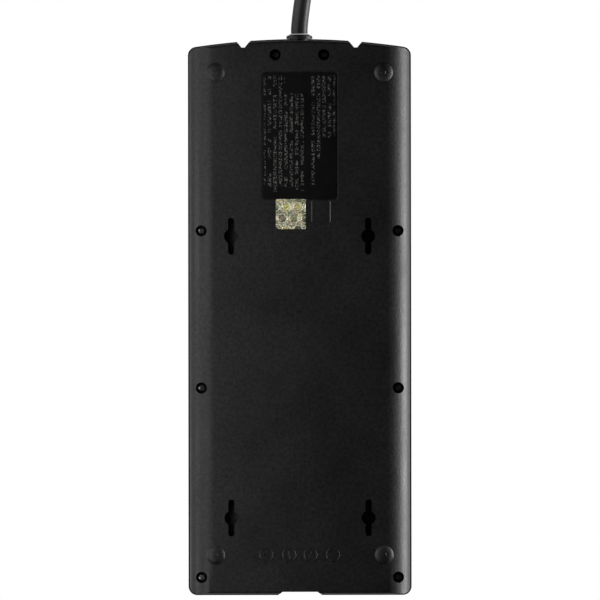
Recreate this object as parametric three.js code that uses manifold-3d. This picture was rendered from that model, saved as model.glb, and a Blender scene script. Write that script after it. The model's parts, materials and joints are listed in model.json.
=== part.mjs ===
// A surge protector strip, lying on its back as it does on a bench: outlets up, cord end at +Y.
// Lengths are millimetres. The origin is under the middle of the body, on the surface it stands on.

import * as THREE from 'three';
import { mergeVertices } from 'three/addons/utils/BufferGeometryUtils.js';
import Module from 'manifold-3d';

// Casing
const BODY_WIDTH = 127;
const BODY_LENGTH = 316.6;
const BODY_DEPTH = 39.2;
const WALL = 2.5;
const BACK_SHELL_DEPTH = 17.2;
const SEAM_GAP = 0.3;
const SEAM_REVEAL = 0.7;
const CORNER_RADIUS = 5;
const CORD_END_RADIUS = 400;
const BACK_ROLL_WIDTH = 14;
const BACK_ROLL_HEIGHT = 12;
const FRONT_ROLL_WIDTH = 9;
const FRONT_ROLL_HEIGHT = 6;
const BACK_EDGE_CHAMFER = 1.6;
const TONGUE_THICKNESS = 1.2;
const TONGUE_HEIGHT = 2;

// Grooves along the front, which run out over the cord end
const GROOVE_SPACING = 64;
const GROOVE_MOUTH = 7.8;
const GROOVE_FLOOR = 1.8;
const GROOVE_DEPTH = 3.7;

// Grip recess in the far end
const GRIP_MOUTH = 25;
const GRIP_FLOOR = 20;
const GRIP_DEPTH = 2;

// Feet moulded on the back
const FOOT_HEIGHT = 1.8;
const FOOT_DIAMETER = 10.7;
const FOOT_NUB_DIAMETER = 2.6;
const FOOT_NUB_HEIGHT = 0.2;
const FOOT_CROWN_DIAMETER = 5.9;
const FOOT_CROWN_DEPTH = 0.5;
const FOOT_SKIRT_DIAMETER = 8.8;
const FOOT_SKIRT_DEPTH = 1.1;
const FOOT_SIDE_INSET = 15.6;
const FOOT_CORD_END_INSET = 19.1;
const FOOT_FAR_END_INSET = 23;

// Keyholes for wall screws, each with a slot above and below its head
const KEYHOLE_HEAD = 8;
const KEYHOLE_SLOT = 3.5;
const KEYHOLE_LENGTH = 21;
const KEYHOLE_SPACING_X = 78;
const KEYHOLE_CORD_END_INSET = 112.3;
const KEYHOLE_FAR_END_INSET = 44.1;
const KEYHOLE_WELL_DEPTH = 5.5;
const KEYHOLE_WELL_WALL = 1.5;
const KEYHOLE_WELL_MARGIN = 1.2;

// Case screws and their bosses
const SCREW_SHANK = 3;
const SCREW_HEAD = 5.6;
const SCREW_HEAD_HEIGHT = 2.2;
const SCREW_HEAD_FACE = 4.4;
const SCREW_HEAD_EDGE = 0.6;
const SCREW_REACH = 10;
const PILOT_SPARE = 2;
const SCREW_CROSS_WIDTH = 0.9;
const SCREW_CROSS_LENGTH = 3.2;
const SCREW_CROSS_DEPTH = 1;
const COUNTERBORE_DIAMETER = 6.4;
const BACK_BOSS_DIAMETER = 9.4;
const BACK_BOSS_HEIGHT = 10.2;
const BACK_BOSS_FLOOR = 2;
const FRONT_BOSS_DIAMETER = 7;
const END_SCREW_SPACING_X = 27.6;
const END_SCREW_INSET = 9.1;
const SIDE_SCREW_SIDE_INSET = 7.5;
const SIDE_SCREW_CORD_END_INSET = 109.2;
const SIDE_SCREW_MIDDLE_INSET = 118;
const SIDE_SCREW_FAR_END_INSET = 10.3;

// Label and foil seal on the back
const LABEL_WIDTH = 42.3;
const LABEL_LENGTH = 71.6;
const LABEL_INSET = 19.3;
const LABEL_CORNER = 1.8;
const STICKER_THICKNESS = 0.2;
const SEAL_SIZE = 17.1;
const SEAL_X = 5;
const SEAL_TO_LABEL = 0.25;

// Outlets, in two columns between the grooves
const OUTLET_ROWS = 5;
const OUTLET_CORD_END_INSET = 94.3;
const OUTLET_FAR_END_INSET = 38.3;
const OUTLET_COLUMN_SPACING = 30;
const OUTLET_FACE_WIDTH = 23;
const OUTLET_FACE_LENGTH = 31;
const OUTLET_FACE_CORNER = 6;
const OUTLET_FACE_DEPTH = 0.8;
const BLADE_SPACING = 12.7;
const GROUND_OFFSET = 11.9;
const LINE_SLOT_LENGTH = 6.6;
const NEUTRAL_SLOT_LENGTH = 8.2;
const SLOT_WIDTH = 2.2;
const GROUND_HOLE = 5.2;

// Contact trays and bus bars behind the outlets
const TRAY_WIDTH = 22.4;
const TRAY_OUTER_WALL = 1.4;
const TRAY_INNER_WALL = 1;
const TRAY_BASE = 2.4;
const TRAY_BASE_HEIGHT = 15.6;
const TRAY_FAR_MARGIN = 21;
const TRAY_NEAR_MARGIN = 14;
const TRAY_RIB_THICKNESS = 2;
const TRAY_END_RIB_OFFSET = 12;
const BAR_THICKNESS = 0.8;
const BAR_WIDTH = 4.4;
const BAR_SETBACK = 1.5;
const BAR_TAB = 1.5;
const FINGER_THICKNESS = 0.6;
const FINGER_HEIGHT = 14;
const FINGER_LENGTH = 6;
const BLADE_GRIP = 1.6;
const PIN_GRIP = 4.8;

// Rocker switch
const SWITCH_X = -14;
const SWITCH_INSET = 40.3;
const SWITCH_WIDTH = 14;
const SWITCH_LENGTH = 19;
const SWITCH_DEPTH = 18;
const SWITCH_WALL = 1.4;
const SWITCH_END_WALL = 0.7;
const BEZEL_LIP = 1.8;
const BEZEL_HEIGHT = 1.2;
const SWITCH_WELL_DEPTH = 8;
const ROCKER_SIDE_CLEARANCE = 0.4;
const ROCKER_TILT = 12;
const ROCKER_PIVOT_DEPTH = 1.5;
const ROCKER_END_RISE = 3.2;
const ROCKER_DISH_HEIGHT = 1.2;
const ROCKER_SKIRT = 1.5;
const ROCKER_KEEL = 4;
const ROCKER_END_STEPS = 4;
const TRUNNION_DIAMETER = 2.2;
const TRUNNION_REACH = 0.8;

// Push-to-reset breaker
const BREAKER_X = 14;
const BREAKER_INSET = 30.3;
const BREAKER_WIDTH = 15;
const BREAKER_LENGTH = 18;
const BREAKER_DEPTH = 18;
const BUSH_DIAMETER = 9;
const BUSH_RISE = 1.2;
const BREAKER_BORE_DEPTH = 16;
const BUTTON_DIAMETER = 6.4;
const BUTTON_RISE = 2;
const BUTTON_LENGTH = 11;
const BUTTON_EDGE = 0.8;
const BUTTON_FLANGE_DIAMETER = 9;
const BUTTON_FLANGE_HEIGHT = 1;
const SPRING_COIL_DIAMETER = 4.6;
const SPRING_WIRE = 0.7;
const SPRING_CURLS = 5;

// Indicator light pipes and the lamps under them
const LAMP_X = 14;
const LAMP_TO_BREAKER = 20;
const LAMP_SPACING = 12;
const LAMP_DIAMETER = 5;
const LAMP_HEIGHT = 8.9;
const LAMP_RIM = 0.4;
const LAMP_RIM_HEIGHT = 1;
const LAMP_DOME_HEIGHT = 2;
const LAMP_CROWN_DIAMETER = 3.5;
const LAMP_CROWN_HEIGHT = 0.6;
const LIGHT_PIPE_RISE = 0.8;
const LIGHT_PIPE_CROWN_DIAMETER = 3;
const LIGHT_PIPE_CROWN_RISE = 0.64;
const LIGHT_PIPE_COLLAR = 7;
const LIGHT_PIPE_COLLAR_HEIGHT = 1;

// Circuit board and what stands on it
const BOARD_WIDTH = 54;
const BOARD_LENGTH = 62;
const BOARD_TO_SCREW_BOSS = 0.5;
const BOARD_THICKNESS = 1.6;
const BOARD_HEIGHT = 9;
const BOARD_POST_DIAMETER = 5;
const BOARD_PIN_DIAMETER = 2.4;
const BOARD_PIN_RISE = 1;
const BOARD_POST_SIDE_INSET = 2.7;
const BOARD_POST_NEAR_INSET = 4;
const BOARD_POST_FAR_INSET = 8;
const VARISTOR_DIAMETER = 14;
const VARISTOR_THICKNESS = 4.6;
const VARISTOR_XS = [-20, -13, -6];
const VARISTOR_TO_SWITCH = 2.5;
const LEAD_LENGTH = 1.4;
const LEAD_WIDTH = 0.9;
const LEAD_SPACING = 7.5;
const FUSE_DIAMETER = 4;
const FUSE_LENGTH = 11;
const FUSE_TO_VARISTOR = 8.8;
const CAPACITOR_SIZE = [17, 8.5, 9];
const CAPACITOR_X = -15.5;
const CAPACITOR_TO_VARISTOR = 23;
const CHOKE_OUTER = 17;
const CHOKE_INNER = 8;
const CHOKE_HEIGHT = 7;
const CHOKE_BEVEL = 1;
const CHOKE_X = 14.5;
const CHOKE_TO_BOARD_END = 17;

// Conductors inside
const WIRE_DIAMETER = 2.6;
const WIRE_FAN = 2.7;
const WIRE_STUB = 1.5;
const FEED_TO_BOARD_END = 4;
const FEED_BOW = 3.4;

// Cord, its strain relief and its plug
const CORD_DIAMETER = 9.5;
const CORD_SIDES = 10;
const CORD_STUB = 4;
const LEAD_STEPS = 8;
const TAIL_STEPS = 4;
const RELIEF_COLLAR_DIAMETER = 14.8;
const RELIEF_COLLAR_LENGTH = 2.4;
const RELIEF_COLLAR_CHAMFER = 0.8;
const RELIEF_NECK_DIAMETER = 11;
const RELIEF_FLANGE_LENGTH = 2;
const RELIEF_TAIL_LENGTH = 18;
const RELIEF_TAIL_DIAMETER = 12.4;
const RELIEF_TIP_DIAMETER = 10.4;
const INNER_JACKET_LENGTH = 5;
const PLUG_HEIGHT = 26;
const PLUG_WIDTH = 30;
const PLUG_LENGTH = 36;
const PLUG_CORNER = 6;
const PLUG_SHOULDER = 5;
const PLUG_SHOULDER_WIDTH = 26;
const PLUG_SHOULDER_HEIGHT = 23;
const PLUG_GRIP_LENGTH = 7;
const PLUG_EDGE = 0.8;
const PLUG_EDGE_LENGTH = 1;
const PLUG_RING_SIDES = 24;
const PLUG_NECK_DIAMETER = 13;
const PLUG_NECK_LENGTH = 22;
const PLUG_NECK_TIP = 11;
const PLUG_NECK_FLARE = 16;
const PLUG_NECK_FLARE_LENGTH = 2;
const PLUG_BLADE_LENGTH = 17.5;
const PLUG_BLADE_WIDTH = 6.35;
const PLUG_BLADE_THICKNESS = 1.5;
const PLUG_BLADE_LINE = 5;
const PLUG_PIN_DIAMETER = 4.8;
const PLUG_PIN_LENGTH = 21;
const PLUG_PIN_NOSE = 2;
const PLUG_PIN_SEAT = 2;
const PLUG_TAIL_RUN = 29;

// Put-away coil: five turns and a sixth, two layers, held by a tie
const COIL_CENTRE_X = -8;
const COIL_CENTRE_Y = 290;
const COIL_OUTER_RADIUS = 66.3;
const COIL_TURNS = 5 + 1 / 6;
const COIL_START_ANGLE = 240;
const COIL_PITCH = 10.3;
const COIL_LAYER_RISE = 10.2;
const COIL_STEPS = 24;
const COIL_SIDES = 6;
const COIL_TURN_ROUNDING = 0.12;
const COIL_CLIMB_TURNS = 0.25;
const COIL_HEADING_TURNS = 0.002;
const TIE_WIDTH = 12;
const TIE_THICKNESS = 1;
const TIE_ANGLE = 210;
const TIE_CORNER = 3;
const TIE_SIDE_CLEARANCE = 1.2;

// Clearances
const FIT = 0.3;
const BORE_FIT = 0.3;

// How the coil's own clearance is measured: points along it, and how far along the cord two may be compared
const GAP_POINTS = 1200;
const GAP_APART = 57;

// Segment counts: sides of round pieces, and steps in a quarter turn of an outline's corner
const ROUND_SIDES = 16;
const SMALL_SIDES = 12;
const WIRE_SIDES = 6;
const WIRE_STEPS = 8;
const SPRING_STEPS = 8;
const SPRING_SIDES = 5;
const CORNER_STEPS = 4;
const ROLL_STEPS = 7;
const ARCH_STEPS = 14;
const OVERLAP = 0.5;
const ALMOST = 0.01;

// Heights worked out from the sizes above
const BACK_Z = FOOT_HEIGHT;
const FRONT_Z = BACK_Z + BODY_DEPTH;
const SEAM_Z = BACK_Z + BACK_SHELL_DEPTH;
const BACK_INSIDE_Z = BACK_Z + WALL;
const FRONT_INSIDE_Z = FRONT_Z - WALL;
const BOSS_TOP_Z = BACK_Z + BACK_BOSS_HEIGHT;
const CORD_Z = SEAM_Z + SEAM_GAP / 2;
const CORD_RADIUS = CORD_DIAMETER / 2;
const BOARD_TOP_Z = BOARD_HEIGHT + BOARD_THICKNESS;
const TRAY_FLOOR_Z = TRAY_BASE_HEIGHT + TRAY_BASE;
const CORD_END_Y = BODY_LENGTH / 2;
const FAR_END_Y = -BODY_LENGTH / 2;
const SIDE_X = BODY_WIDTH / 2;
const PAST_END_Y = CORD_END_Y + 1;
const OUTLET_FIRST_Y = CORD_END_Y - OUTLET_CORD_END_INSET;
const OUTLET_LAST_Y = FAR_END_Y + OUTLET_FAR_END_INSET;
const OUTLET_PITCH = (OUTLET_FIRST_Y - OUTLET_LAST_Y) / (OUTLET_ROWS - 1);
const OUTLET_YS = Array.from({ length: OUTLET_ROWS }, (_, row) => OUTLET_FIRST_Y - row * OUTLET_PITCH);
const OUTLET_MIDDLE_Y = (OUTLET_FIRST_Y + OUTLET_LAST_Y) / 2;
const TRAY_RIB_YS = [OUTLET_FIRST_Y - TRAY_END_RIB_OFFSET, OUTLET_MIDDLE_Y, OUTLET_LAST_Y];
const FOOT_X = SIDE_X - FOOT_SIDE_INSET;
const FOOT_YS = [CORD_END_Y - FOOT_CORD_END_INSET, FAR_END_Y + FOOT_FAR_END_INSET];
const KEYHOLE_YS = [CORD_END_Y - KEYHOLE_CORD_END_INSET, FAR_END_Y + KEYHOLE_FAR_END_INSET];
const END_SCREW_Y = CORD_END_Y - END_SCREW_INSET;
const SIDE_SCREW_X = SIDE_X - SIDE_SCREW_SIDE_INSET;
const SIDE_SCREW_YS = [
  CORD_END_Y - SIDE_SCREW_CORD_END_INSET,
  FAR_END_Y + SIDE_SCREW_MIDDLE_INSET,
  FAR_END_Y + SIDE_SCREW_FAR_END_INSET,
];
const LABEL_Y = CORD_END_Y - LABEL_INSET - LABEL_LENGTH / 2;
const SEAL_Y = LABEL_Y - LABEL_LENGTH / 2 - SEAL_TO_LABEL - SEAL_SIZE / 2;
const SWITCH_Y = CORD_END_Y - SWITCH_INSET;
const BREAKER_Y = CORD_END_Y - BREAKER_INSET;
const LAMP_YS = [BREAKER_Y - LAMP_TO_BREAKER, BREAKER_Y - LAMP_TO_BREAKER - LAMP_SPACING];
const BOARD_NEAR_Y = END_SCREW_Y - BACK_BOSS_DIAMETER / 2 - BOARD_TO_SCREW_BOSS;
const BOARD_FAR_Y = BOARD_NEAR_Y - BOARD_LENGTH;
const BOARD_POST_X = BOARD_WIDTH / 2 - BOARD_POST_SIDE_INSET;
const BOARD_POST_YS = [BOARD_FAR_Y + BOARD_POST_FAR_INSET, BOARD_NEAR_Y - BOARD_POST_NEAR_INSET];
const VARISTOR_Y = SWITCH_Y - SWITCH_LENGTH / 2 - VARISTOR_TO_SWITCH - VARISTOR_DIAMETER / 2;
const FUSE_Y = VARISTOR_Y - FUSE_TO_VARISTOR;
const CAPACITOR_Y = VARISTOR_Y + CAPACITOR_TO_VARISTOR;
const CHOKE_Y = BOARD_NEAR_Y - CHOKE_TO_BOARD_END;
const FEED_START_Y = BOARD_FAR_Y + FEED_TO_BOARD_END;
const OUTLET_COLUMN_XS = [-OUTLET_COLUMN_SPACING / 2, OUTLET_COLUMN_SPACING / 2];
const TRAY_START_Y = OUTLET_LAST_Y - TRAY_FAR_MARGIN;
const TRAY_END_Y = OUTLET_FIRST_Y + TRAY_NEAR_MARGIN;
const COIL_LOW_Z = TIE_THICKNESS + FIT + CORD_RADIUS;
const PLUG_AXIS_Z = PLUG_HEIGHT / 2;

const MATERIALS = {
  casing: { color: 0x1b1b1c, roughness: 0.55, metalness: 0 },
  screw: { color: 0x3a3a3c, roughness: 0.35, metalness: 0.9 },
  label: { color: 0x141415, roughness: 0.4, metalness: 0 },
  foil: { color: 0xb8a86a, roughness: 0.25, metalness: 0.9 },
  cord: { color: 0x18181a, roughness: 0.6, metalness: 0 },
  tie: { color: 0x101011, roughness: 0.9, metalness: 0 },
  contact: { color: 0xc9a24a, roughness: 0.35, metalness: 1 },
  rocker: { color: 0x222224, roughness: 0.4, metalness: 0 },
  tray: { color: 0xd8d4c8, roughness: 0.6, metalness: 0 },
  steel: { color: 0xb9bbbe, roughness: 0.3, metalness: 1 },
  lens: { color: 0xdfe6df, roughness: 0.2, metalness: 0 },
  board: { color: 0x2c5a3a, roughness: 0.5, metalness: 0 },
  varistor: { color: 0x2a5aa0, roughness: 0.5, metalness: 0 },
  component: { color: 0xc8b23c, roughness: 0.5, metalness: 0 },
  ferrite: { color: 0x3a4a3a, roughness: 0.6, metalness: 0 },
  wireLine: { color: 0x1c1c1c, roughness: 0.5, metalness: 0 },
  wireNeutral: { color: 0xd9d9d6, roughness: 0.5, metalness: 0 },
  wireGround: { color: 0x2f8a45, roughness: 0.5, metalness: 0 },
};

const wasm = await Module();
wasm.setup();

// Turns a closed geometry into a solid that can be joined and cut.
function solidOf(geometry) {
  const bare = geometry.index ? geometry.toNonIndexed() : geometry.clone();
  bare.deleteAttribute('normal');
  bare.deleteAttribute('uv');
  const merged = mergeVertices(bare, 1e-4);
  const vertProperties = new Float32Array(merged.attributes.position.array);
  const triVerts = new Uint32Array(merged.index.array);
  return new wasm.Manifold(new wasm.Mesh({ numProp: 3, vertProperties, triVerts }));
}

function geometryOf(solid) {
  const mesh = solid.getMesh();
  const geometry = new THREE.BufferGeometry();
  geometry.setAttribute('position', new THREE.BufferAttribute(new Float32Array(mesh.vertProperties), 3));
  geometry.setIndex(Array.from(mesh.triVerts));
  geometry.computeVertexNormals();
  return geometry;
}

const join = (...solids) => solids.reduce((sum, solid) => sum.add(solid));
const cut = (solid, ...tools) => tools.reduce((rest, tool) => rest.subtract(tool), solid);
const meet = (...solids) => solids.reduce((shared, solid) => shared.intersect(solid));

function block(low, high) {
  const size = high.map((value, axis) => value - low[axis]);
  const geometry = new THREE.BoxGeometry(...size);
  geometry.translate(...low.map((value, axis) => value + size[axis] / 2));
  return solidOf(geometry);
}

function post(x, y, diameter, lowZ, highZ, sides = ROUND_SIDES) {
  const geometry = new THREE.CylinderGeometry(diameter / 2, diameter / 2, highZ - lowZ, sides);
  geometry.rotateX(Math.PI / 2);
  geometry.translate(x, y, (lowZ + highZ) / 2);
  return solidOf(geometry);
}

// An outline's extrusion. An arc in it takes twice curveSegments steps.
function extruded(shape, depth, arcSteps) {
  return new THREE.ExtrudeGeometry(shape, { depth, bevelEnabled: false, curveSegments: arcSteps / 2 });
}

// Extrudes a flat outline from one height to another.
function prism(shape, lowZ, highZ, arcSteps = CORNER_STEPS) {
  const geometry = extruded(shape, highZ - lowZ, arcSteps);
  geometry.translate(0, 0, lowZ);
  return solidOf(geometry);
}

// Extrudes an outline drawn across the body (x, z) along Y.
function alongY(shape, lowY, highY, arcSteps = CORNER_STEPS) {
  const geometry = extruded(shape, highY - lowY, arcSteps);
  geometry.rotateX(Math.PI / 2);
  geometry.translate(0, highY, 0);
  return solidOf(geometry);
}

// Extrudes an outline drawn along the body (y, z) across X.
function alongX(shape, lowX, highX, arcSteps = CORNER_STEPS) {
  const geometry = extruded(shape, highX - lowX, arcSteps);
  geometry.applyMatrix4(new THREE.Matrix4().set(0, 0, 1, lowX, 1, 0, 0, 0, 0, 1, 0, 0, 0, 0, 0, 1));
  return solidOf(geometry);
}

// Spins a closed profile of [radius, height] points about Z.
function turned(profile, sides = ROUND_SIDES) {
  const points = profile.map(([radius, height]) => new THREE.Vector2(radius, height));
  const geometry = new THREE.LatheGeometry(points, sides);
  geometry.rotateX(Math.PI / 2);
  return geometry;
}

// A round tube along a curve, its end faces square to the curve.
function tube(points, diameter, steps, sides) {
  const curve = new THREE.CatmullRomCurve3(points.map((point) => new THREE.Vector3(...point)));
  const options = { steps, curveSegments: sides / 2, bevelEnabled: false, extrudePath: curve };
  return geometryOf(solidOf(new THREE.ExtrudeGeometry(disc(0, 0, diameter), options)));
}

function disc(x, y, diameter) {
  const shape = new THREE.Shape();
  shape.absarc(x, y, diameter / 2, 0, Math.PI * 2, false);
  return shape;
}

function shapeOf(points) {
  return new THREE.Shape(points.map(([x, y]) => new THREE.Vector2(x, y)));
}

function roundedRectangle(width, length, radius, x = 0, y = 0) {
  const right = width / 2 - radius;
  const top = length / 2 - radius;
  const shape = new THREE.Shape();
  shape.absarc(x + right, y + top, radius, 0, Math.PI / 2, false);
  shape.absarc(x - right, y + top, radius, Math.PI / 2, Math.PI, false);
  shape.absarc(x - right, y - top, radius, Math.PI, Math.PI * 1.5, false);
  shape.absarc(x + right, y - top, radius, Math.PI * 1.5, Math.PI * 2, false);
  return shape;
}

// Points of an elliptical quarter from (0, rise) to (run, 0), measured from the corner it rounds.
function rollPoints(run, rise) {
  return Array.from({ length: ROLL_STEPS + 1 }, (_, step) => {
    const angle = (step / ROLL_STEPS) * (Math.PI / 2);
    return [run * (1 - Math.sin(angle)), rise * (1 - Math.cos(angle))];
  });
}

// The body's plan, moved in from its edge by inset: square far end, bowed cord end, round corners.
function planShape(inset) {
  const half = SIDE_X - inset;
  const radius = CORNER_RADIUS - inset > 1 ? CORNER_RADIUS - inset : 1;
  const farY = FAR_END_Y + inset;
  const bow = CORD_END_RADIUS - inset;
  const bowCentreY = CORD_END_Y - CORD_END_RADIUS;
  const innerX = half - radius;
  const cornerY = bowCentreY + Math.sqrt((bow - radius) ** 2 - innerX ** 2);
  const sweep = Math.atan2(cornerY - bowCentreY, innerX);
  const shape = new THREE.Shape();
  shape.absarc(innerX, farY + radius, radius, -Math.PI / 2, 0, false);
  shape.absarc(innerX, cornerY, radius, 0, sweep, false);
  for (let step = 1; step < ARCH_STEPS; step += 1) {
    const angle = sweep + (step / ARCH_STEPS) * (Math.PI - 2 * sweep);
    shape.lineTo(bow * Math.cos(angle), bowCentreY + bow * Math.sin(angle));
  }
  shape.absarc(-innerX, cornerY, radius, Math.PI - sweep, Math.PI, false);
  shape.absarc(-innerX, farY + radius, radius, Math.PI, Math.PI * 1.5, false);
  return shape;
}

// The tapering section shared by the grooves and the grip recess, grown on every side by grow.
function taperPoints(mouth, floor, depth, grow) {
  const slope = (mouth - floor) / 2 / depth;
  const reach = depth + grow;
  const spread = mouth / 2 + grow * Math.hypot(1, slope);
  return { outer: spread + slope * OVERLAP, inner: spread - slope * reach, reach };
}

function grooveTool(x, grow) {
  const { outer, inner, reach } = taperPoints(GROOVE_MOUTH, GROOVE_FLOOR, GROOVE_DEPTH, grow);
  const face = shapeOf([
    [x - inner, FRONT_Z - reach],
    [x + inner, FRONT_Z - reach],
    [x + outer, FRONT_Z + OVERLAP],
    [x - outer, FRONT_Z + OVERLAP],
  ]);
  const edgeY = CORD_END_Y - x ** 2 / (2 * CORD_END_RADIUS);
  const wall = shapeOf([
    [x - inner, edgeY - reach],
    [x + inner, edgeY - reach],
    [x + outer, edgeY + OVERLAP],
    [x - outer, edgeY + OVERLAP],
  ]);
  return join(alongY(face, -PAST_END_Y, PAST_END_Y), prism(wall, 0, FRONT_Z + OVERLAP));
}

function gripTool(grow) {
  const { outer, inner, reach } = taperPoints(GRIP_MOUTH, GRIP_FLOOR, GRIP_DEPTH, grow);
  const edgeY = FAR_END_Y;
  const recess = shapeOf([
    [-outer, edgeY - OVERLAP],
    [outer, edgeY - OVERLAP],
    [inner, edgeY + reach],
    [-inner, edgeY + reach],
  ]);
  return prism(recess, 0, FRONT_Z + OVERLAP);
}

const grooveTools = (grow) => [-GROOVE_SPACING / 2, GROOVE_SPACING / 2].map((x) => grooveTool(x, grow));
const edgeTools = (grow) => [...grooveTools(grow), gripTool(grow)];

// Half sections across the body, closed at the seam.
function backSection(inset) {
  const half = SIDE_X - SEAM_REVEAL - inset;
  const low = BACK_Z + inset;
  const top = SEAM_Z + (inset > 0 ? OVERLAP : 0);
  const roll = rollPoints(BACK_ROLL_WIDTH - inset / 2, BACK_ROLL_HEIGHT - inset / 2);
  const right = roll.map(([x, z]) => [half - x, low + z]);
  const left = roll.map(([x, z]) => [-half + x, low + z]).reverse();
  return shapeOf([...right, [half, top], [-half, top], ...left]);
}

function frontSection(inset) {
  const half = SIDE_X - inset;
  const high = FRONT_Z - inset;
  const bottom = SEAM_Z + SEAM_GAP - (inset > 0 ? OVERLAP : 0);
  const roll = rollPoints(FRONT_ROLL_WIDTH - inset / 2, FRONT_ROLL_HEIGHT - inset / 2);
  const right = roll.map(([x, z]) => [half - x, high - z]).reverse();
  const left = roll.map(([x, z]) => [-half + x, high - z]);
  return shapeOf([[-half, bottom], [half, bottom], ...right, ...left]);
}

// The back shell's plan solid, its lower edge chamfered.
function chamferedPlan(inset) {
  const depth = FRONT_Z - BACK_Z - BACK_EDGE_CHAMFER;
  const geometry = new THREE.ExtrudeGeometry(planShape(inset + BACK_EDGE_CHAMFER), {
    depth,
    curveSegments: CORNER_STEPS / 2,
    bevelSize: BACK_EDGE_CHAMFER,
    bevelThickness: BACK_EDGE_CHAMFER,
    bevelSegments: 1,
  });
  geometry.translate(0, 0, BACK_Z + BACK_EDGE_CHAMFER);
  return solidOf(geometry);
}

function backShell() {
  const outside = meet(alongY(backSection(0), -PAST_END_Y, PAST_END_Y), chamferedPlan(SEAM_REVEAL));
  const inside = meet(
    alongY(backSection(WALL), -PAST_END_Y, PAST_END_Y),
    prism(planShape(SEAM_REVEAL + WALL), BACK_INSIDE_Z, FRONT_Z),
  );
  return cut(cut(outside, ...edgeTools(0)), cut(inside, ...edgeTools(WALL)));
}

// The tongue inside the seam that lines the two shells up.
function seamTongue() {
  const inset = WALL + FIT;
  const low = SEAM_Z - TONGUE_HEIGHT;
  const high = SEAM_Z + TONGUE_HEIGHT;
  const ring = cut(
    prism(planShape(inset), low, high),
    prism(planShape(inset + TONGUE_THICKNESS), low - OVERLAP, high + OVERLAP),
  );
  const bossRooms = screwPlaces().map(([x, y]) =>
    post(x, y, FRONT_BOSS_DIAMETER + 2 * FIT, low - OVERLAP, high + OVERLAP, SMALL_SIDES));
  return cut(ring, ...edgeTools(inset), ...bossRooms);
}

const screwPlaces = () => [
  ...pairedPlaces(END_SCREW_SPACING_X, [END_SCREW_Y]),
  ...pairedPlaces(2 * SIDE_SCREW_X, SIDE_SCREW_YS),
];

const pairedPlaces = (spacingX, ys) =>
  ys.flatMap((y) => [-1, 1].map((side) => [(side * spacingX) / 2, y]));

function foot([x, y]) {
  const geometry = turned([
    [0, BACK_Z + OVERLAP],
    [0, 0],
    [FOOT_NUB_DIAMETER / 2, 0],
    [FOOT_NUB_DIAMETER / 2, FOOT_NUB_HEIGHT],
    [FOOT_CROWN_DIAMETER / 2, FOOT_CROWN_DEPTH],
    [FOOT_SKIRT_DIAMETER / 2, FOOT_SKIRT_DEPTH],
    [FOOT_DIAMETER / 2, BACK_Z],
    [FOOT_DIAMETER / 2, BACK_Z + OVERLAP],
    [0, BACK_Z + OVERLAP],
  ]);
  geometry.translate(x, y, 0);
  return solidOf(geometry);
}

function keyholeCut([x, y]) {
  const low = BACK_Z - 1;
  const high = BACK_INSIDE_Z + KEYHOLE_WELL_DEPTH;
  const half = KEYHOLE_SLOT / 2;
  const slot = roundedRectangle(KEYHOLE_SLOT, KEYHOLE_LENGTH, half - ALMOST, x, y);
  const reachX = KEYHOLE_HEAD / 2 + KEYHOLE_WELL_MARGIN;
  const reachY = KEYHOLE_LENGTH / 2 + KEYHOLE_WELL_MARGIN;
  const well = block([x - reachX, y - reachY, BACK_INSIDE_Z], [x + reachX, y + reachY, high]);
  const through = BACK_INSIDE_Z + OVERLAP;
  return join(post(x, y, KEYHOLE_HEAD, low, through), prism(slot, low, through), well);
}

function keyholeWell([x, y]) {
  const reach = KEYHOLE_WELL_MARGIN + KEYHOLE_WELL_WALL;
  return block(
    [x - KEYHOLE_HEAD / 2 - reach, y - KEYHOLE_LENGTH / 2 - reach, BACK_INSIDE_Z - OVERLAP],
    [x + KEYHOLE_HEAD / 2 + reach, y + KEYHOLE_LENGTH / 2 + reach,
      BACK_INSIDE_Z + KEYHOLE_WELL_DEPTH + KEYHOLE_WELL_WALL],
  );
}

function trayRib(y) {
  const reach = (OUTLET_COLUMN_SPACING + TRAY_WIDTH) / 2;
  return block(
    [-reach, y - TRAY_RIB_THICKNESS / 2, BACK_INSIDE_Z - OVERLAP],
    [reach, y + TRAY_RIB_THICKNESS / 2, TRAY_BASE_HEIGHT - FIT],
  );
}

function boardPost([x, y]) {
  return join(
    post(x, y, BOARD_POST_DIAMETER, BACK_INSIDE_Z - OVERLAP, BOARD_HEIGHT - FIT, SMALL_SIDES),
    post(x, y, BOARD_PIN_DIAMETER, BOARD_HEIGHT - OVERLAP, BOARD_TOP_Z + BOARD_PIN_RISE, SMALL_SIDES),
  );
}

// The opening for the cord in the end wall, and room inside for the relief's flange.
function cordOpening() {
  const hole = disc(0, CORD_Z, RELIEF_NECK_DIAMETER + 2 * FIT);
  const room = disc(0, CORD_Z, RELIEF_COLLAR_DIAMETER + 2 * FIT);
  const roomY = CORD_END_Y - WALL;
  return join(
    alongY(hole, roomY - WALL, PAST_END_Y, ROUND_SIDES),
    alongY(room, roomY - 2 * RELIEF_FLANGE_LENGTH, roomY, ROUND_SIDES),
  );
}

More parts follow.
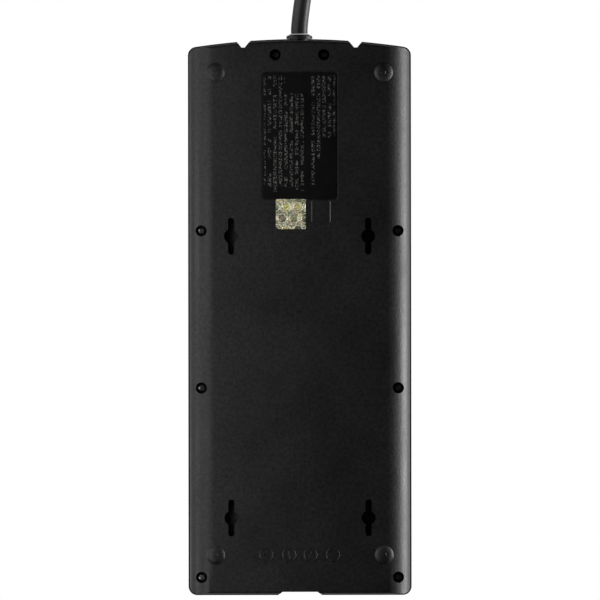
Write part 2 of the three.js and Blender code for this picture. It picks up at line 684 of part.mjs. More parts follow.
function backCover() {
  const labelSeat = roundedRectangle(LABEL_WIDTH + 2 * FIT, LABEL_LENGTH + 2 * FIT, LABEL_CORNER, 0, LABEL_Y);
  const labelRecess = prism(labelSeat, BACK_Z - 1, BACK_Z + STICKER_THICKNESS + FIT);
  const keyholes = pairedPlaces(KEYHOLE_SPACING_X, KEYHOLE_YS);
  const bosses = screwPlaces().map(([x, y]) => post(x, y, BACK_BOSS_DIAMETER, BACK_Z + OVERLAP, BOSS_TOP_Z));
  const insideWalls = join(
    alongY(backSection(0), -PAST_END_Y, PAST_END_Y),
    block([-BODY_WIDTH, -BODY_LENGTH, BACK_ROLL_HEIGHT], [BODY_WIDTH, BODY_LENGTH, FRONT_Z]),
  );
  const solid = join(
    backShell(),
    seamTongue(),
    ...bosses.map((boss) => meet(boss, insideWalls)),
    ...keyholes.map(keyholeWell),
    ...TRAY_RIB_YS.map(trayRib),
    ...pairedPlaces(2 * BOARD_POST_X, BOARD_POST_YS).map(boardPost),
    ...pairedPlaces(2 * FOOT_X, FOOT_YS).map(foot),
  );
  const bores = screwPlaces().flatMap(([x, y]) => [
    post(x, y, COUNTERBORE_DIAMETER, BACK_Z - 1, BOSS_TOP_Z - BACK_BOSS_FLOOR),
    post(x, y, SCREW_SHANK + 2 * FIT, BOSS_TOP_Z - BACK_BOSS_FLOOR - OVERLAP, BOSS_TOP_Z + 1, SMALL_SIDES),
  ]);
  return geometryOf(cut(solid, ...bores, ...keyholes.map(keyholeCut), labelRecess, cordOpening()));
}

function outletCuts(x, y) {
  const middleY = y - GROUND_OFFSET / 2;
  const low = FRONT_INSIDE_Z - 1;
  const high = FRONT_Z + 1;
  const face = roundedRectangle(OUTLET_FACE_WIDTH, OUTLET_FACE_LENGTH, OUTLET_FACE_CORNER, x, middleY);
  const slot = (slotX, length) =>
    block([slotX - SLOT_WIDTH / 2, y - length / 2, low], [slotX + SLOT_WIDTH / 2, y + length / 2, high]);
  return [
    prism(face, FRONT_Z - OUTLET_FACE_DEPTH, high),
    slot(x - BLADE_SPACING / 2, LINE_SLOT_LENGTH),
    slot(x + BLADE_SPACING / 2, NEUTRAL_SLOT_LENGTH),
    post(x, y - GROUND_OFFSET, GROUND_HOLE, low, high, SMALL_SIDES),
  ];
}

function panelCuts() {
  const low = FRONT_INSIDE_Z - 1;
  const high = FRONT_Z + 1;
  const halfX = SWITCH_WIDTH / 2 + FIT;
  const halfY = SWITCH_LENGTH / 2 + FIT;
  return [
    block([SWITCH_X - halfX, SWITCH_Y - halfY, low], [SWITCH_X + halfX, SWITCH_Y + halfY, high]),
    post(BREAKER_X, BREAKER_Y, BUSH_DIAMETER + 2 * FIT, low, high),
    ...LAMP_YS.map((y) => post(LAMP_X, y, LAMP_DIAMETER + 2 * FIT, low, high, SMALL_SIDES)),
  ];
}

function frontCover() {
  const outside = meet(
    alongY(frontSection(0), -PAST_END_Y, PAST_END_Y),
    prism(planShape(0), SEAM_Z, FRONT_Z + 1),
  );
  const inside = meet(
    alongY(frontSection(WALL), -PAST_END_Y, PAST_END_Y),
    prism(planShape(WALL), 0, FRONT_INSIDE_Z),
  );
  const shell = cut(cut(outside, ...edgeTools(0)), cut(inside, ...edgeTools(WALL)));
  const bosses = screwPlaces().map(([x, y]) =>
    post(x, y, FRONT_BOSS_DIAMETER, BOSS_TOP_Z + FIT, FRONT_INSIDE_Z + OVERLAP, SMALL_SIDES));
  const pilots = screwPlaces().map(([x, y]) =>
    post(x, y, SCREW_SHANK + 2 * FIT, BOSS_TOP_Z, BOSS_TOP_Z + SCREW_REACH + PILOT_SPARE, SMALL_SIDES));
  const outlets = OUTLET_COLUMN_XS.flatMap((x) => OUTLET_YS.flatMap((y) => outletCuts(x, y)));
  return geometryOf(cut(join(shell, ...bosses), ...pilots, ...outlets, ...panelCuts(), cordOpening()));
}

// A case screw with its head down in the counterbore and its shank up through both bosses.
function screw([x, y]) {
  const seat = BOSS_TOP_Z - BACK_BOSS_FLOOR - FIT;
  const face = seat - SCREW_HEAD_HEIGHT;
  const head = SCREW_HEAD / 2;
  const shank = SCREW_SHANK / 2;
  const tip = BOSS_TOP_Z + SCREW_REACH;
  const geometry = turned(
    [[0, face], [SCREW_HEAD_FACE / 2, face], [head, face + SCREW_HEAD_EDGE], [head, seat], [shank, seat],
      [shank, tip - shank], [0, tip], [0, face]],
    SMALL_SIDES,
  );
  geometry.translate(x, y, 0);
  const arm = SCREW_CROSS_LENGTH / 2;
  const half = SCREW_CROSS_WIDTH / 2;
  const slots = [
    block([x - arm, y - half, face - 1], [x + arm, y + half, face + SCREW_CROSS_DEPTH]),
    block([x - half, y - arm, face - 1], [x + half, y + arm, face + SCREW_CROSS_DEPTH]),
  ];
  return geometryOf(cut(solidOf(geometry), ...slots));
}

function ratingLabel() {
  const shape = roundedRectangle(LABEL_WIDTH, LABEL_LENGTH, LABEL_CORNER, 0, LABEL_Y);
  return geometryOf(prism(shape, BACK_Z, BACK_Z + STICKER_THICKNESS));
}

function foilSeal() {
  const half = SEAL_SIZE / 2;
  const high = BACK_Z - FIT;
  const low = high - STICKER_THICKNESS;
  return geometryOf(block([SEAL_X - half, SEAL_Y - half, low], [SEAL_X + half, SEAL_Y + half, high]));
}

function contactTray(x) {
  const half = TRAY_WIDTH / 2;
  const top = FRONT_INSIDE_Z - FIT;
  const low = TRAY_BASE_HEIGHT;
  const partition = BLADE_SPACING / 4;
  const wallAt = (centre, thickness) =>
    block([centre - thickness / 2, TRAY_START_Y, low], [centre + thickness / 2, TRAY_END_Y, top]);
  return geometryOf(join(
    block([x - half, TRAY_START_Y, low], [x + half, TRAY_END_Y, TRAY_FLOOR_Z]),
    wallAt(x - half + TRAY_OUTER_WALL / 2, TRAY_OUTER_WALL),
    wallAt(x + half - TRAY_OUTER_WALL / 2, TRAY_OUTER_WALL),
    wallAt(x - partition, TRAY_INNER_WALL),
    wallAt(x + partition, TRAY_INNER_WALL),
  ));
}

// A stamped bar with a pair of spring fingers under each outlet.
function busBar(x, grips) {
  const low = TRAY_FLOOR_Z + FIT;
  const startY = TRAY_START_Y + BAR_SETBACK;
  const endY = TRAY_END_Y + BAR_TAB;
  const strip = block([x - BAR_WIDTH / 2, startY, low], [x + BAR_WIDTH / 2, endY, low + BAR_THICKNESS]);
  return geometryOf(join(strip, ...OUTLET_YS.flatMap((y) => grips(x, y, low))));
}

function bladeGrips(x, y, low) {
  return [-1, 1].map((side) => {
    const middle = x + (side * (BLADE_GRIP + FINGER_THICKNESS)) / 2;
    return block(
      [middle - FINGER_THICKNESS / 2, y - FINGER_LENGTH / 2, low],
      [middle + FINGER_THICKNESS / 2, y + FINGER_LENGTH / 2, low + FINGER_HEIGHT],
    );
  });
}

function pinGrips(x, y, low) {
  return [-1, 1].map((side) => {
    const middle = y - GROUND_OFFSET + (side * (PIN_GRIP + FINGER_THICKNESS)) / 2;
    return block(
      [x - BAR_WIDTH / 2, middle - FINGER_THICKNESS / 2, low],
      [x + BAR_WIDTH / 2, middle + FINGER_THICKNESS / 2, low + FINGER_HEIGHT],
    );
  });
}

const pivotZ = FRONT_Z + FIT + BEZEL_HEIGHT - ROCKER_PIVOT_DEPTH;
const wellHalfX = SWITCH_WIDTH / 2 - SWITCH_WALL;
const wellHalfY = SWITCH_LENGTH / 2 - SWITCH_END_WALL;
const rockerHalf = wellHalfX - ROCKER_SIDE_CLEARANCE;

// A cylinder whose axis lies across the body, for the rocker's pivot.
function crossPin(diameter, reach) {
  const geometry = new THREE.CylinderGeometry(diameter / 2, diameter / 2, 2 * reach, SMALL_SIDES);
  geometry.rotateZ(Math.PI / 2);
  return geometry;
}

function switchHousing() {
  const top = FRONT_Z + FIT + BEZEL_HEIGHT;
  const reachX = SWITCH_WIDTH / 2 + BEZEL_LIP;
  const reachY = SWITCH_LENGTH / 2 + BEZEL_LIP;
  const bezel = prism(roundedRectangle(2 * reachX, 2 * reachY, BEZEL_LIP), FRONT_Z + FIT, top);
  const body = block(
    [-SWITCH_WIDTH / 2, -SWITCH_LENGTH / 2, FRONT_Z - SWITCH_DEPTH],
    [SWITCH_WIDTH / 2, SWITCH_LENGTH / 2, top - OVERLAP],
  );
  const well = block([-wellHalfX, -wellHalfY, top - SWITCH_WELL_DEPTH], [wellHalfX, wellHalfY, top + 1]);
  const sockets = crossPin(TRUNNION_DIAMETER + 2 * BORE_FIT, rockerHalf + TRUNNION_REACH + FIT);
  sockets.translate(0, 0, pivotZ);
  const geometry = geometryOf(cut(join(bezel, body), well, solidOf(sockets)));
  geometry.translate(SWITCH_X, SWITCH_Y, 0);
  return geometry;
}

// The rocker about its own pivot, level; its mesh is tilted to the stop it rests on.
function rockerButton() {
  const radius = wellHalfY - ROCKER_SIDE_CLEARANCE;
  const topAngle = Math.asin(ROCKER_END_RISE / radius);
  const lowAngle = -Math.asin(ROCKER_SKIRT / radius);
  const endArc = Array.from({ length: ROCKER_END_STEPS + 1 }, (_, step) => {
    const angle = lowAngle + (step / ROCKER_END_STEPS) * (topAngle - lowAngle);
    return [radius * Math.cos(angle), radius * Math.sin(angle)];
  });
  const farArc = endArc.map(([y, z]) => [-y, z]).reverse();
  const profile = shapeOf([[0, -ROCKER_KEEL], ...endArc, [0, ROCKER_DISH_HEIGHT], ...farArc]);
  const body = alongX(profile, -rockerHalf, rockerHalf);
  return geometryOf(join(body, solidOf(crossPin(TRUNNION_DIAMETER, rockerHalf + TRUNNION_REACH))));
}

const boreTopZ = FRONT_Z + BUSH_RISE;
const boreLowZ = boreTopZ - BREAKER_BORE_DEPTH - BUSH_RISE;
const buttonTopZ = boreTopZ + BUTTON_RISE;
const buttonLowZ = buttonTopZ - BUTTON_LENGTH;
const buttonFlangeZ = buttonLowZ + BUTTON_FLANGE_HEIGHT;

function breakerHousing() {
  const top = FRONT_INSIDE_Z - FIT;
  const body = block(
    [BREAKER_X - BREAKER_WIDTH / 2, BREAKER_Y - BREAKER_LENGTH / 2, top - BREAKER_DEPTH],
    [BREAKER_X + BREAKER_WIDTH / 2, BREAKER_Y + BREAKER_LENGTH / 2, top],
  );
  const bush = post(BREAKER_X, BREAKER_Y, BUSH_DIAMETER, top - OVERLAP, boreTopZ);
  const bore = post(BREAKER_X, BREAKER_Y, BUTTON_DIAMETER + 2 * BORE_FIT, boreLowZ, boreTopZ + 1);
  const chamberDiameter = BUTTON_FLANGE_DIAMETER + 2 * BORE_FIT;
  const chamber = post(BREAKER_X, BREAKER_Y, chamberDiameter, boreLowZ, buttonFlangeZ + FIT);
  return geometryOf(cut(join(body, bush), bore, chamber));
}

function resetButton() {
  const radius = BUTTON_DIAMETER / 2;
  const geometry = turned([
    [0, buttonLowZ],
    [BUTTON_FLANGE_DIAMETER / 2, buttonLowZ],
    [BUTTON_FLANGE_DIAMETER / 2, buttonFlangeZ],
    [radius, buttonFlangeZ],
    [radius, buttonTopZ - BUTTON_EDGE],
    [radius - BUTTON_EDGE, buttonTopZ],
    [0, buttonTopZ],
    [0, buttonLowZ],
  ]);
  geometry.translate(BREAKER_X, BREAKER_Y, 0);
  return geometryOf(solidOf(geometry));
}

// A tube through given rings of points, closed at both ends.
function tubeThroughRings(rings) {
  const sides = rings[0].length;
  const position = rings.flat().flatMap((point) => point.toArray());
  const index = [];
  for (let ring = 0; ring < rings.length - 1; ring += 1) {
    for (let side = 0; side < sides; side += 1) {
      const next = (side + 1) % sides;
      const a = ring * sides + side;
      const b = ring * sides + next;
      index.push(a, b, a + sides, b, b + sides, a + sides);
    }
  }
  const last = (rings.length - 1) * sides;
  for (let side = 1; side < sides - 1; side += 1) {
    index.push(0, side + 1, side);
    index.push(last, last + side, last + side + 1);
  }
  const geometry = new THREE.BufferGeometry();
  geometry.setAttribute('position', new THREE.Float32BufferAttribute(position, 3));
  geometry.setIndex(index);
  geometry.computeVertexNormals();
  return geometry;
}

// A ring of section points round a centre, flat side down, square to a heading in plan.
function sectionRing(centre, heading, radius, sides) {
  const across = new THREE.Vector3(heading.y, -heading.x, 0).normalize();
  return Array.from({ length: sides }, (_, side) => {
    const angle = ((side + 0.5) / sides) * Math.PI * 2 - Math.PI / 2;
    const up = new THREE.Vector3(0, 0, radius * Math.sin(angle));
    return centre.clone().addScaledVector(across, -radius * Math.cos(angle)).add(up);
  });
}

function resetSpring() {
  const steps = SPRING_CURLS * SPRING_STEPS;
  const low = boreLowZ + FIT + SPRING_WIRE / 2;
  const high = buttonLowZ - FIT - SPRING_WIRE / 2;
  const rings = Array.from({ length: steps + 1 }, (_, step) => {
    const angle = (step / SPRING_STEPS) * Math.PI * 2;
    const outward = new THREE.Vector3(Math.cos(angle), Math.sin(angle), 0);
    const centre = new THREE.Vector3(BREAKER_X, BREAKER_Y, low + ((high - low) * step) / steps);
    centre.addScaledVector(outward, SPRING_COIL_DIAMETER / 2);
    const heading = new THREE.Vector3(-outward.y, outward.x, 0);
    return sectionRing(centre, heading, SPRING_WIRE / 2, SPRING_SIDES);
  });
  return tubeThroughRings(rings);
}

function lightPipe(y) {
  const radius = LAMP_DIAMETER / 2;
  const collarTop = FRONT_INSIDE_Z - FIT;
  const low = BOARD_TOP_Z + FIT + LAMP_HEIGHT + FIT;
  const geometry = turned([
    [0, low],
    [radius, low],
    [radius, collarTop - LIGHT_PIPE_COLLAR_HEIGHT],
    [LIGHT_PIPE_COLLAR / 2, collarTop - LIGHT_PIPE_COLLAR_HEIGHT],
    [LIGHT_PIPE_COLLAR / 2, collarTop],
    [radius, collarTop],
    [radius, FRONT_Z],
    [LIGHT_PIPE_CROWN_DIAMETER / 2, FRONT_Z + LIGHT_PIPE_CROWN_RISE],
    [0, FRONT_Z + LIGHT_PIPE_RISE],
    [0, low],
  ], SMALL_SIDES);
  geometry.translate(LAMP_X, y, 0);
  return geometryOf(solidOf(geometry));
}

function lamp(y) {
  const radius = LAMP_DIAMETER / 2;
  const low = BOARD_TOP_Z + FIT;
  const high = low + LAMP_HEIGHT;
  const geometry = turned([
    [0, low],
    [radius + LAMP_RIM, low],
    [radius + LAMP_RIM, low + LAMP_RIM_HEIGHT],
    [radius, low + LAMP_RIM_HEIGHT],
    [radius, high - LAMP_DOME_HEIGHT],
    [LAMP_CROWN_DIAMETER / 2, high - LAMP_CROWN_HEIGHT],
    [0, high],
    [0, low],
  ], SMALL_SIDES);
  geometry.translate(LAMP_X, y, 0);
  return geometryOf(solidOf(geometry));
}

function circuitBoard() {
  const board = block(
    [-BOARD_WIDTH / 2, BOARD_FAR_Y, BOARD_HEIGHT],
    [BOARD_WIDTH / 2, BOARD_NEAR_Y, BOARD_TOP_Z],
  );
  const holes = pairedPlaces(2 * BOARD_POST_X, BOARD_POST_YS).map(([x, y]) =>
    post(x, y, BOARD_PIN_DIAMETER + 2 * FIT, BOARD_HEIGHT - 1, BOARD_TOP_Z + 1, SMALL_SIDES));
  return geometryOf(cut(board, ...holes));
}

// A disc varistor standing on its two leads.
function varistor(x) {
  const half = VARISTOR_THICKNESS / 2;
  const foot = BOARD_TOP_Z + FIT;
  const face = disc(VARISTOR_Y, foot + LEAD_LENGTH + VARISTOR_DIAMETER / 2, VARISTOR_DIAMETER);
  const leads = [-1, 1].map((side) => {
    const y = VARISTOR_Y + (side * LEAD_SPACING) / 2;
    return block(
      [x - LEAD_WIDTH / 2, y - LEAD_WIDTH / 2, foot],
      [x + LEAD_WIDTH / 2, y + LEAD_WIDTH / 2, foot + VARISTOR_DIAMETER / 2],
    );
  });
  return geometryOf(join(alongX(face, x - half, x + half, ROUND_SIDES), ...leads));
}

function thermalFuse() {
  const middleX = VARISTOR_XS[1];
  const z = BOARD_TOP_Z + FIT + FUSE_DIAMETER / 2;
  const geometry = new THREE.CylinderGeometry(FUSE_DIAMETER / 2, FUSE_DIAMETER / 2, FUSE_LENGTH, SMALL_SIDES);
  geometry.rotateZ(Math.PI / 2);
  geometry.translate(middleX, FUSE_Y, z);
  return geometryOf(solidOf(geometry));
}

function filterCapacitor() {
  const [width, length, height] = CAPACITOR_SIZE;
  const low = BOARD_TOP_Z + FIT;
  return geometryOf(block(
    [CAPACITOR_X - width / 2, CAPACITOR_Y - length / 2, low],
    [CAPACITOR_X + width / 2, CAPACITOR_Y + length / 2, low + height],
  ));
}

function filterChoke() {
  const low = BOARD_TOP_Z + FIT;
  const high = low + CHOKE_HEIGHT;
  const inner = CHOKE_INNER / 2;
  const outer = CHOKE_OUTER / 2;
  const geometry = turned([
    [inner, low + CHOKE_BEVEL],
    [inner + CHOKE_BEVEL, low],
    [outer - CHOKE_BEVEL, low],
    [outer, low + CHOKE_BEVEL],
    [outer, high - CHOKE_BEVEL],
    [outer - CHOKE_BEVEL, high],
    [inner + CHOKE_BEVEL, high],
    [inner, high - CHOKE_BEVEL],
    [inner, low + CHOKE_BEVEL],
  ]);
  geometry.translate(CHOKE_X, CHOKE_Y, 0);
  return geometryOf(solidOf(geometry));
}

const reliefTipY = CORD_END_Y + FIT + RELIEF_COLLAR_LENGTH;
const reliefInnerY = CORD_END_Y - WALL - FIT - RELIEF_FLANGE_LENGTH - RELIEF_TAIL_LENGTH;
const jacketEndY = reliefInnerY - FIT - INNER_JACKET_LENGTH;

// The moulded grommet round the cord: a collar outside the wall, a flange and a tapering tail inside.
function strainRelief() {
  const collar = RELIEF_COLLAR_DIAMETER / 2;
  const neck = RELIEF_NECK_DIAMETER / 2;
  const innerFace = CORD_END_Y - WALL - FIT;
  const geometry = turned([
    [0, reliefInnerY],
    [RELIEF_TIP_DIAMETER / 2, reliefInnerY],
    [RELIEF_TAIL_DIAMETER / 2, innerFace - RELIEF_FLANGE_LENGTH],
    [collar, innerFace - RELIEF_FLANGE_LENGTH],
    [collar, innerFace],
    [neck, innerFace],
    [neck, CORD_END_Y + FIT],
    [collar, CORD_END_Y + FIT],
    [collar, reliefTipY - RELIEF_COLLAR_CHAMFER],
    [collar - RELIEF_COLLAR_CHAMFER, reliefTipY],
    [0, reliefTipY],
    [0, reliefInnerY],
  ]);
  geometry.rotateX(-Math.PI / 2);
  geometry.translate(0, 0, CORD_Z);
  return geometryOf(solidOf(geometry));
}

function innerJacket() {
  const section = disc(0, CORD_Z, CORD_DIAMETER);
  return geometryOf(alongY(section, jacketEndY, jacketEndY + INNER_JACKET_LENGTH, ROUND_SIDES));
}

const wireStartY = jacketEndY - FIT;
const boardLanding = BOARD_TOP_Z + FIT;

function wire(points) {
  return tube(points, WIRE_DIAMETER, WIRE_STEPS, WIRE_SIDES);
}

// The three conductors, from the jacket's end to the breaker's side and down to the board.
const breakerSideX = BREAKER_X - BREAKER_WIDTH / 2 - FIT;
const CORD_LINE_WIRE = [
  [WIRE_FAN, wireStartY, CORD_Z + 1.2],
  [WIRE_FAN, wireStartY - WIRE_STUB, CORD_Z + 1.2],
  [WIRE_FAN + 0.6, wireStartY - 5, CORD_Z + 3.2],
  [breakerSideX - 1.4, wireStartY - 6.8, CORD_Z + 4.2],
  [breakerSideX, wireStartY - 6.8, CORD_Z + 4.2],
];
const CORD_NEUTRAL_WIRE = [
  [-WIRE_FAN, wireStartY, CORD_Z],
  [-WIRE_FAN, wireStartY - WIRE_STUB, CORD_Z],
  [-WIRE_FAN - 0.4, wireStartY - 9, CORD_Z - 2.4],
  [-WIRE_FAN - 0.4, wireStartY - 13, boardLanding + 1.6],
  [-WIRE_FAN - 0.4, wireStartY - 13, boardLanding],
];
const CORD_GROUND_WIRE = [
  [0.2, wireStartY, CORD_Z - 2],
  [0.2, wireStartY - WIRE_STUB, CORD_Z - 2],
  [1.2, wireStartY - 7, CORD_Z - 4],
  [1.4, wireStartY - 10, boardLanding + 1.6],
  [1.4, wireStartY - 10, boardLanding],
];

// A conductor from the board up into the end of a bus bar.
function feedWire(x) {
  const barZ = TRAY_FLOOR_Z + FIT + BAR_THICKNESS / 2;
  const barEndY = TRAY_END_Y + BAR_TAB + FIT;
  return wire([
    [x, FEED_START_Y, boardLanding],
    [x, FEED_START_Y, boardLanding + FEED_BOW],
    [x, barEndY + 2.4, barZ],
    [x, barEndY, barZ],
  ]);
}

// Points along the coil, from its straight lead-in to its straight lead-out.
function coilPath() {
  const point = (turns) => {
    const angle = THREE.MathUtils.degToRad(COIL_START_ANGLE - 360 * turns);
    const fromMiddle = turns - COIL_TURNS / 2;
    const folded = Math.hypot(fromMiddle, COIL_TURN_ROUNDING);
    const radius = COIL_OUTER_RADIUS - COIL_PITCH * (COIL_TURNS / 2 - folded);
    const climb = THREE.MathUtils.smoothstep(fromMiddle, -COIL_CLIMB_TURNS, COIL_CLIMB_TURNS);
    return new THREE.Vector3(
      COIL_CENTRE_X + radius * Math.cos(angle),
      COIL_CENTRE_Y + radius * Math.sin(angle),
      COIL_LOW_Z + COIL_LAYER_RISE * climb,
    );
  };
  const count = Math.round(COIL_TURNS * COIL_STEPS);
  const wound = Array.from({ length: count + 1 }, (_, step) => point((step / count) * COIL_TURNS));
  const headingAt = (turns) =>
    point(turns + COIL_HEADING_TURNS).sub(point(turns - COIL_HEADING_TURNS)).setZ(0).normalize();
  const start = wound[0].clone().addScaledVector(headingAt(0), -CORD_DIAMETER);
  const end = wound[count].clone().addScaledVector(headingAt(COIL_TURNS), CORD_DIAMETER);
  return [start, ...wound, end];
}

function cordCoil() {
  const path = coilPath();
  const rings = path.map((centre, place) => {
    const before = path[Math.max(place - 1, 0)];
    const after = path[Math.min(place + 1, path.length - 1)];
    return sectionRing(centre, after.clone().sub(before).setZ(0), CORD_RADIUS, COIL_SIDES);
  });
  return tubeThroughRings(rings);
}

// The least gap between the coil's turns, measured between points that lie far apart along the cord.
function leastCoilGap() {
  const path = new THREE.CatmullRomCurve3(coilPath()).getSpacedPoints(GAP_POINTS);
  const step = path[0].distanceTo(path[1]);
  const apart = Math.ceil(GAP_APART / step);
  let least = Infinity;
  for (let a = 0; a < path.length; a += 1) {
    for (let b = a + apart; b < path.length; b += 1) {
      least = Math.min(least, path[a].distanceTo(path[b]) - CORD_DIAMETER);
    }
  }
  return least;
}

const coilPoints = coilPath();
const coilStart = coilPoints[0];
const coilEnd = coilPoints[coilPoints.length - 1];
const leadInHeading = coilPoints[1].clone().sub(coilStart).normalize();
const plugAxisX = coilEnd.x;
const leadOutHeading = coilEnd.clone().sub(coilPoints[coilPoints.length - 2]).setZ(0).normalize();
const plugTailY = coilEnd.y + PLUG_TAIL_RUN;
const alongLead = (distance) => coilStart.clone().addScaledVector(leadInHeading, -distance).toArray();
const alongTail = (distance) => coilEnd.clone().addScaledVector(leadOutHeading, distance).toArray();

const LEAD_ROUTE = [
  [0, reliefTipY + FIT, CORD_Z],
  [0, 164.3, CORD_Z],
  [-0.8, 172.3, 18.7],
  [-2.2, 182.2, 17.1],
  [-4.2, 191.9, 14.5],
  [-7.8, 201.3, 11.6],
  [-12.9, 209.8, 8.8],
  [-19.4, 217.4, 6.9],
  [-24.7, 221.9, 6.2],
  alongLead(FIT + CORD_STUB),
  alongLead(FIT),
];

const TAIL_ROUTE = [
  alongTail(FIT),
  alongTail(FIT + CORD_STUB),
  [plugAxisX, coilEnd.y + 15, coilEnd.z - 2],
  [plugAxisX, plugTailY - CORD_STUB, PLUG_AXIS_Z],
  [plugAxisX, plugTailY, PLUG_AXIS_Z],
];

// A flat strap round the coil's turns.
function coilTie() {
  const innermost = COIL_OUTER_RADIUS - (COIL_PITCH * (COIL_TURNS - 1)) / 2;
  const inner = innermost - CORD_RADIUS - TIE_SIDE_CLEARANCE;
  const outer = COIL_OUTER_RADIUS + CORD_RADIUS + FIT;
  const high = COIL_LOW_Z + COIL_LAYER_RISE + CORD_RADIUS + FIT;
  const middle = (inner + outer) / 2;
  const width = outer - inner;
  const height = high - TIE_THICKNESS;
  const centreZ = TIE_THICKNESS + height / 2;
  const ring = (grow) =>
    roundedRectangle(width + 2 * grow, height + 2 * grow, TIE_CORNER + grow, middle, centreZ);
  const strap = cut(
    alongY(ring(TIE_THICKNESS), -TIE_WIDTH / 2, TIE_WIDTH / 2),
    alongY(ring(0), -TIE_WIDTH, TIE_WIDTH),
  );
  const geometry = geometryOf(strap);
  geometry.rotateZ(THREE.MathUtils.degToRad(TIE_ANGLE));
  geometry.translate(COIL_CENTRE_X, COIL_CENTRE_Y, 0);
  return geometry;
}

const plugFaceY = plugTailY + FIT + PLUG_NECK_LENGTH + PLUG_LENGTH;

// The moulded plug, lying on its side: a round neck that widens into a block with soft corners.
function plugBody() {
  const ringAt = (y, width, height, corner) => {
    const outline = roundedRectangle(width, height, corner).getSpacedPoints(PLUG_RING_SIDES);
    const open = outline.slice(0, PLUG_RING_SIDES);
    return open.map(({ x: across, y: up }) => new THREE.Vector3(plugAxisX - across, y, PLUG_AXIS_Z + up));
  };
  const roundAt = (y, diameter) => ringAt(y, diameter, diameter, diameter / 2 - ALMOST);
  const neckY = plugTailY + FIT;
  const bodyY = neckY + PLUG_NECK_LENGTH;
  const shoulderY = bodyY + PLUG_SHOULDER;
  const rings = [
    roundAt(neckY, PLUG_NECK_TIP),
    roundAt(bodyY - PLUG_NECK_FLARE_LENGTH, PLUG_NECK_DIAMETER),
    roundAt(bodyY, PLUG_NECK_FLARE),
    ringAt(shoulderY, PLUG_SHOULDER_WIDTH, PLUG_SHOULDER_HEIGHT, PLUG_CORNER),
    ringAt(shoulderY + PLUG_GRIP_LENGTH, PLUG_WIDTH, PLUG_HEIGHT, PLUG_CORNER),
    ringAt(plugFaceY - PLUG_EDGE_LENGTH, PLUG_WIDTH, PLUG_HEIGHT, PLUG_CORNER),
    ringAt(plugFaceY, PLUG_WIDTH - 2 * PLUG_EDGE, PLUG_HEIGHT - 2 * PLUG_EDGE, PLUG_CORNER - PLUG_EDGE),
  ];
  const seats = plugPins().map(({ grown }) => grown);
  return geometryOf(cut(solidOf(tubeThroughRings(rings)), ...seats));
}

// The two blades and the round ground pin, each seated in the plug's face, and the seats to cut for them.
function plugPins() {
  const seatY = plugFaceY - PLUG_PIN_SEAT;
  const x = plugAxisX;
  const blade = (side, grow) => {
    const z = PLUG_AXIS_Z + (side * BLADE_SPACING) / 2;
    const thick = PLUG_BLADE_THICKNESS / 2 + grow;
    const wide = PLUG_BLADE_WIDTH / 2 + grow;
    const middleX = x + PLUG_BLADE_LINE;
    return block(
      [middleX - wide, seatY - grow, z - thick],
      [middleX + wide, plugFaceY + PLUG_BLADE_LENGTH, z + thick],
    );
  };
  const pin = (grow) => {
    const geometry = turned([
      [0, seatY - grow],
      [PLUG_PIN_DIAMETER / 2 + grow, seatY - grow],
      [PLUG_PIN_DIAMETER / 2 + grow, plugFaceY + PLUG_PIN_LENGTH - PLUG_PIN_NOSE],
      [PLUG_PIN_DIAMETER / 4, plugFaceY + PLUG_PIN_LENGTH],
      [0, plugFaceY + PLUG_PIN_LENGTH],
      [0, seatY - grow],
    ], SMALL_SIDES);
    geometry.rotateX(-Math.PI / 2);
    geometry.translate(x + PLUG_BLADE_LINE - GROUND_OFFSET, 0, PLUG_AXIS_Z);
    return solidOf(geometry);
  };
  return [
    { name: 'plug_line_blade', solid: blade(1, 0), grown: blade(1, FIT) },
    { name: 'plug_neutral_blade', solid: blade(-1, 0), grown: blade(-1, FIT) },
    { name: 'plug_ground_pin', solid: pin(0), grown: pin(FIT) },
  ];
}

const part = new THREE.Group();

function place(name, geometry, material, parent = part) {
  const mesh = new THREE.Mesh(geometry, new THREE.MeshStandardMaterial(MATERIALS[material]));
  mesh.name = name;
  parent.add(mesh);
  return mesh;
}

place('back_cover', backCover(), 'casing');
place('front_cover', frontCover(), 'casing');
screwPlaces().forEach((spot, count) => place(`case_screw_${count + 1}`, screw(spot), 'screw'));
place('rating_label', ratingLabel(), 'label');
place('foil_seal', foilSeal(), 'foil');

place('rocker_switch_housing', switchHousing(), 'rocker');
const rocker = place('rocker_button', rockerButton(), 'rocker');
rocker.position.set(SWITCH_X, SWITCH_Y, pivotZ);
rocker.rotation.x = THREE.MathUtils.degToRad(ROCKER_TILT);
place('breaker_housing', breakerHousing(), 'rocker');
place('reset_button', resetButton(), 'rocker');
place('reset_spring', resetSpring(), 'steel');
['protected', 'grounded'].forEach((word, count) => {
  place(`${word}_light_pipe`, lightPipe(LAMP_YS[count]), 'lens');
  place(`${word}_lamp`, lamp(LAMP_YS[count]), 'lens');
});

place('circuit_board', circuitBoard(), 'board');
VARISTOR_XS.forEach((x, count) => place(`varistor_${count + 1}`, varistor(x), 'varistor'));
place('thermal_fuse', thermalFuse(), 'steel');
place('filter_capacitor', filterCapacitor(), 'component');
place('filter_choke', filterChoke(), 'ferrite');

OUTLET_COLUMN_XS.forEach((x, column) => {
  const side = ['left', 'right'][column];
  const lineX = x - BLADE_SPACING / 2;
  const neutralX = x + BLADE_SPACING / 2;
  place(`contact_tray_${side}`, contactTray(x), 'tray');
  place(`line_bus_${side}`, busBar(lineX, bladeGrips), 'contact');
  place(`neutral_bus_${side}`, busBar(neutralX, bladeGrips), 'contact');
  place(`ground_bus_${side}`, busBar(x, pinGrips), 'contact');
  place(`line_feed_wire_${side}`, feedWire(lineX), 'wireLine');
  place(`neutral_feed_wire_${side}`, feedWire(neutralX), 'wireNeutral');
  place(`ground_feed_wire_${side}`, feedWire(x), 'wireGround');
});

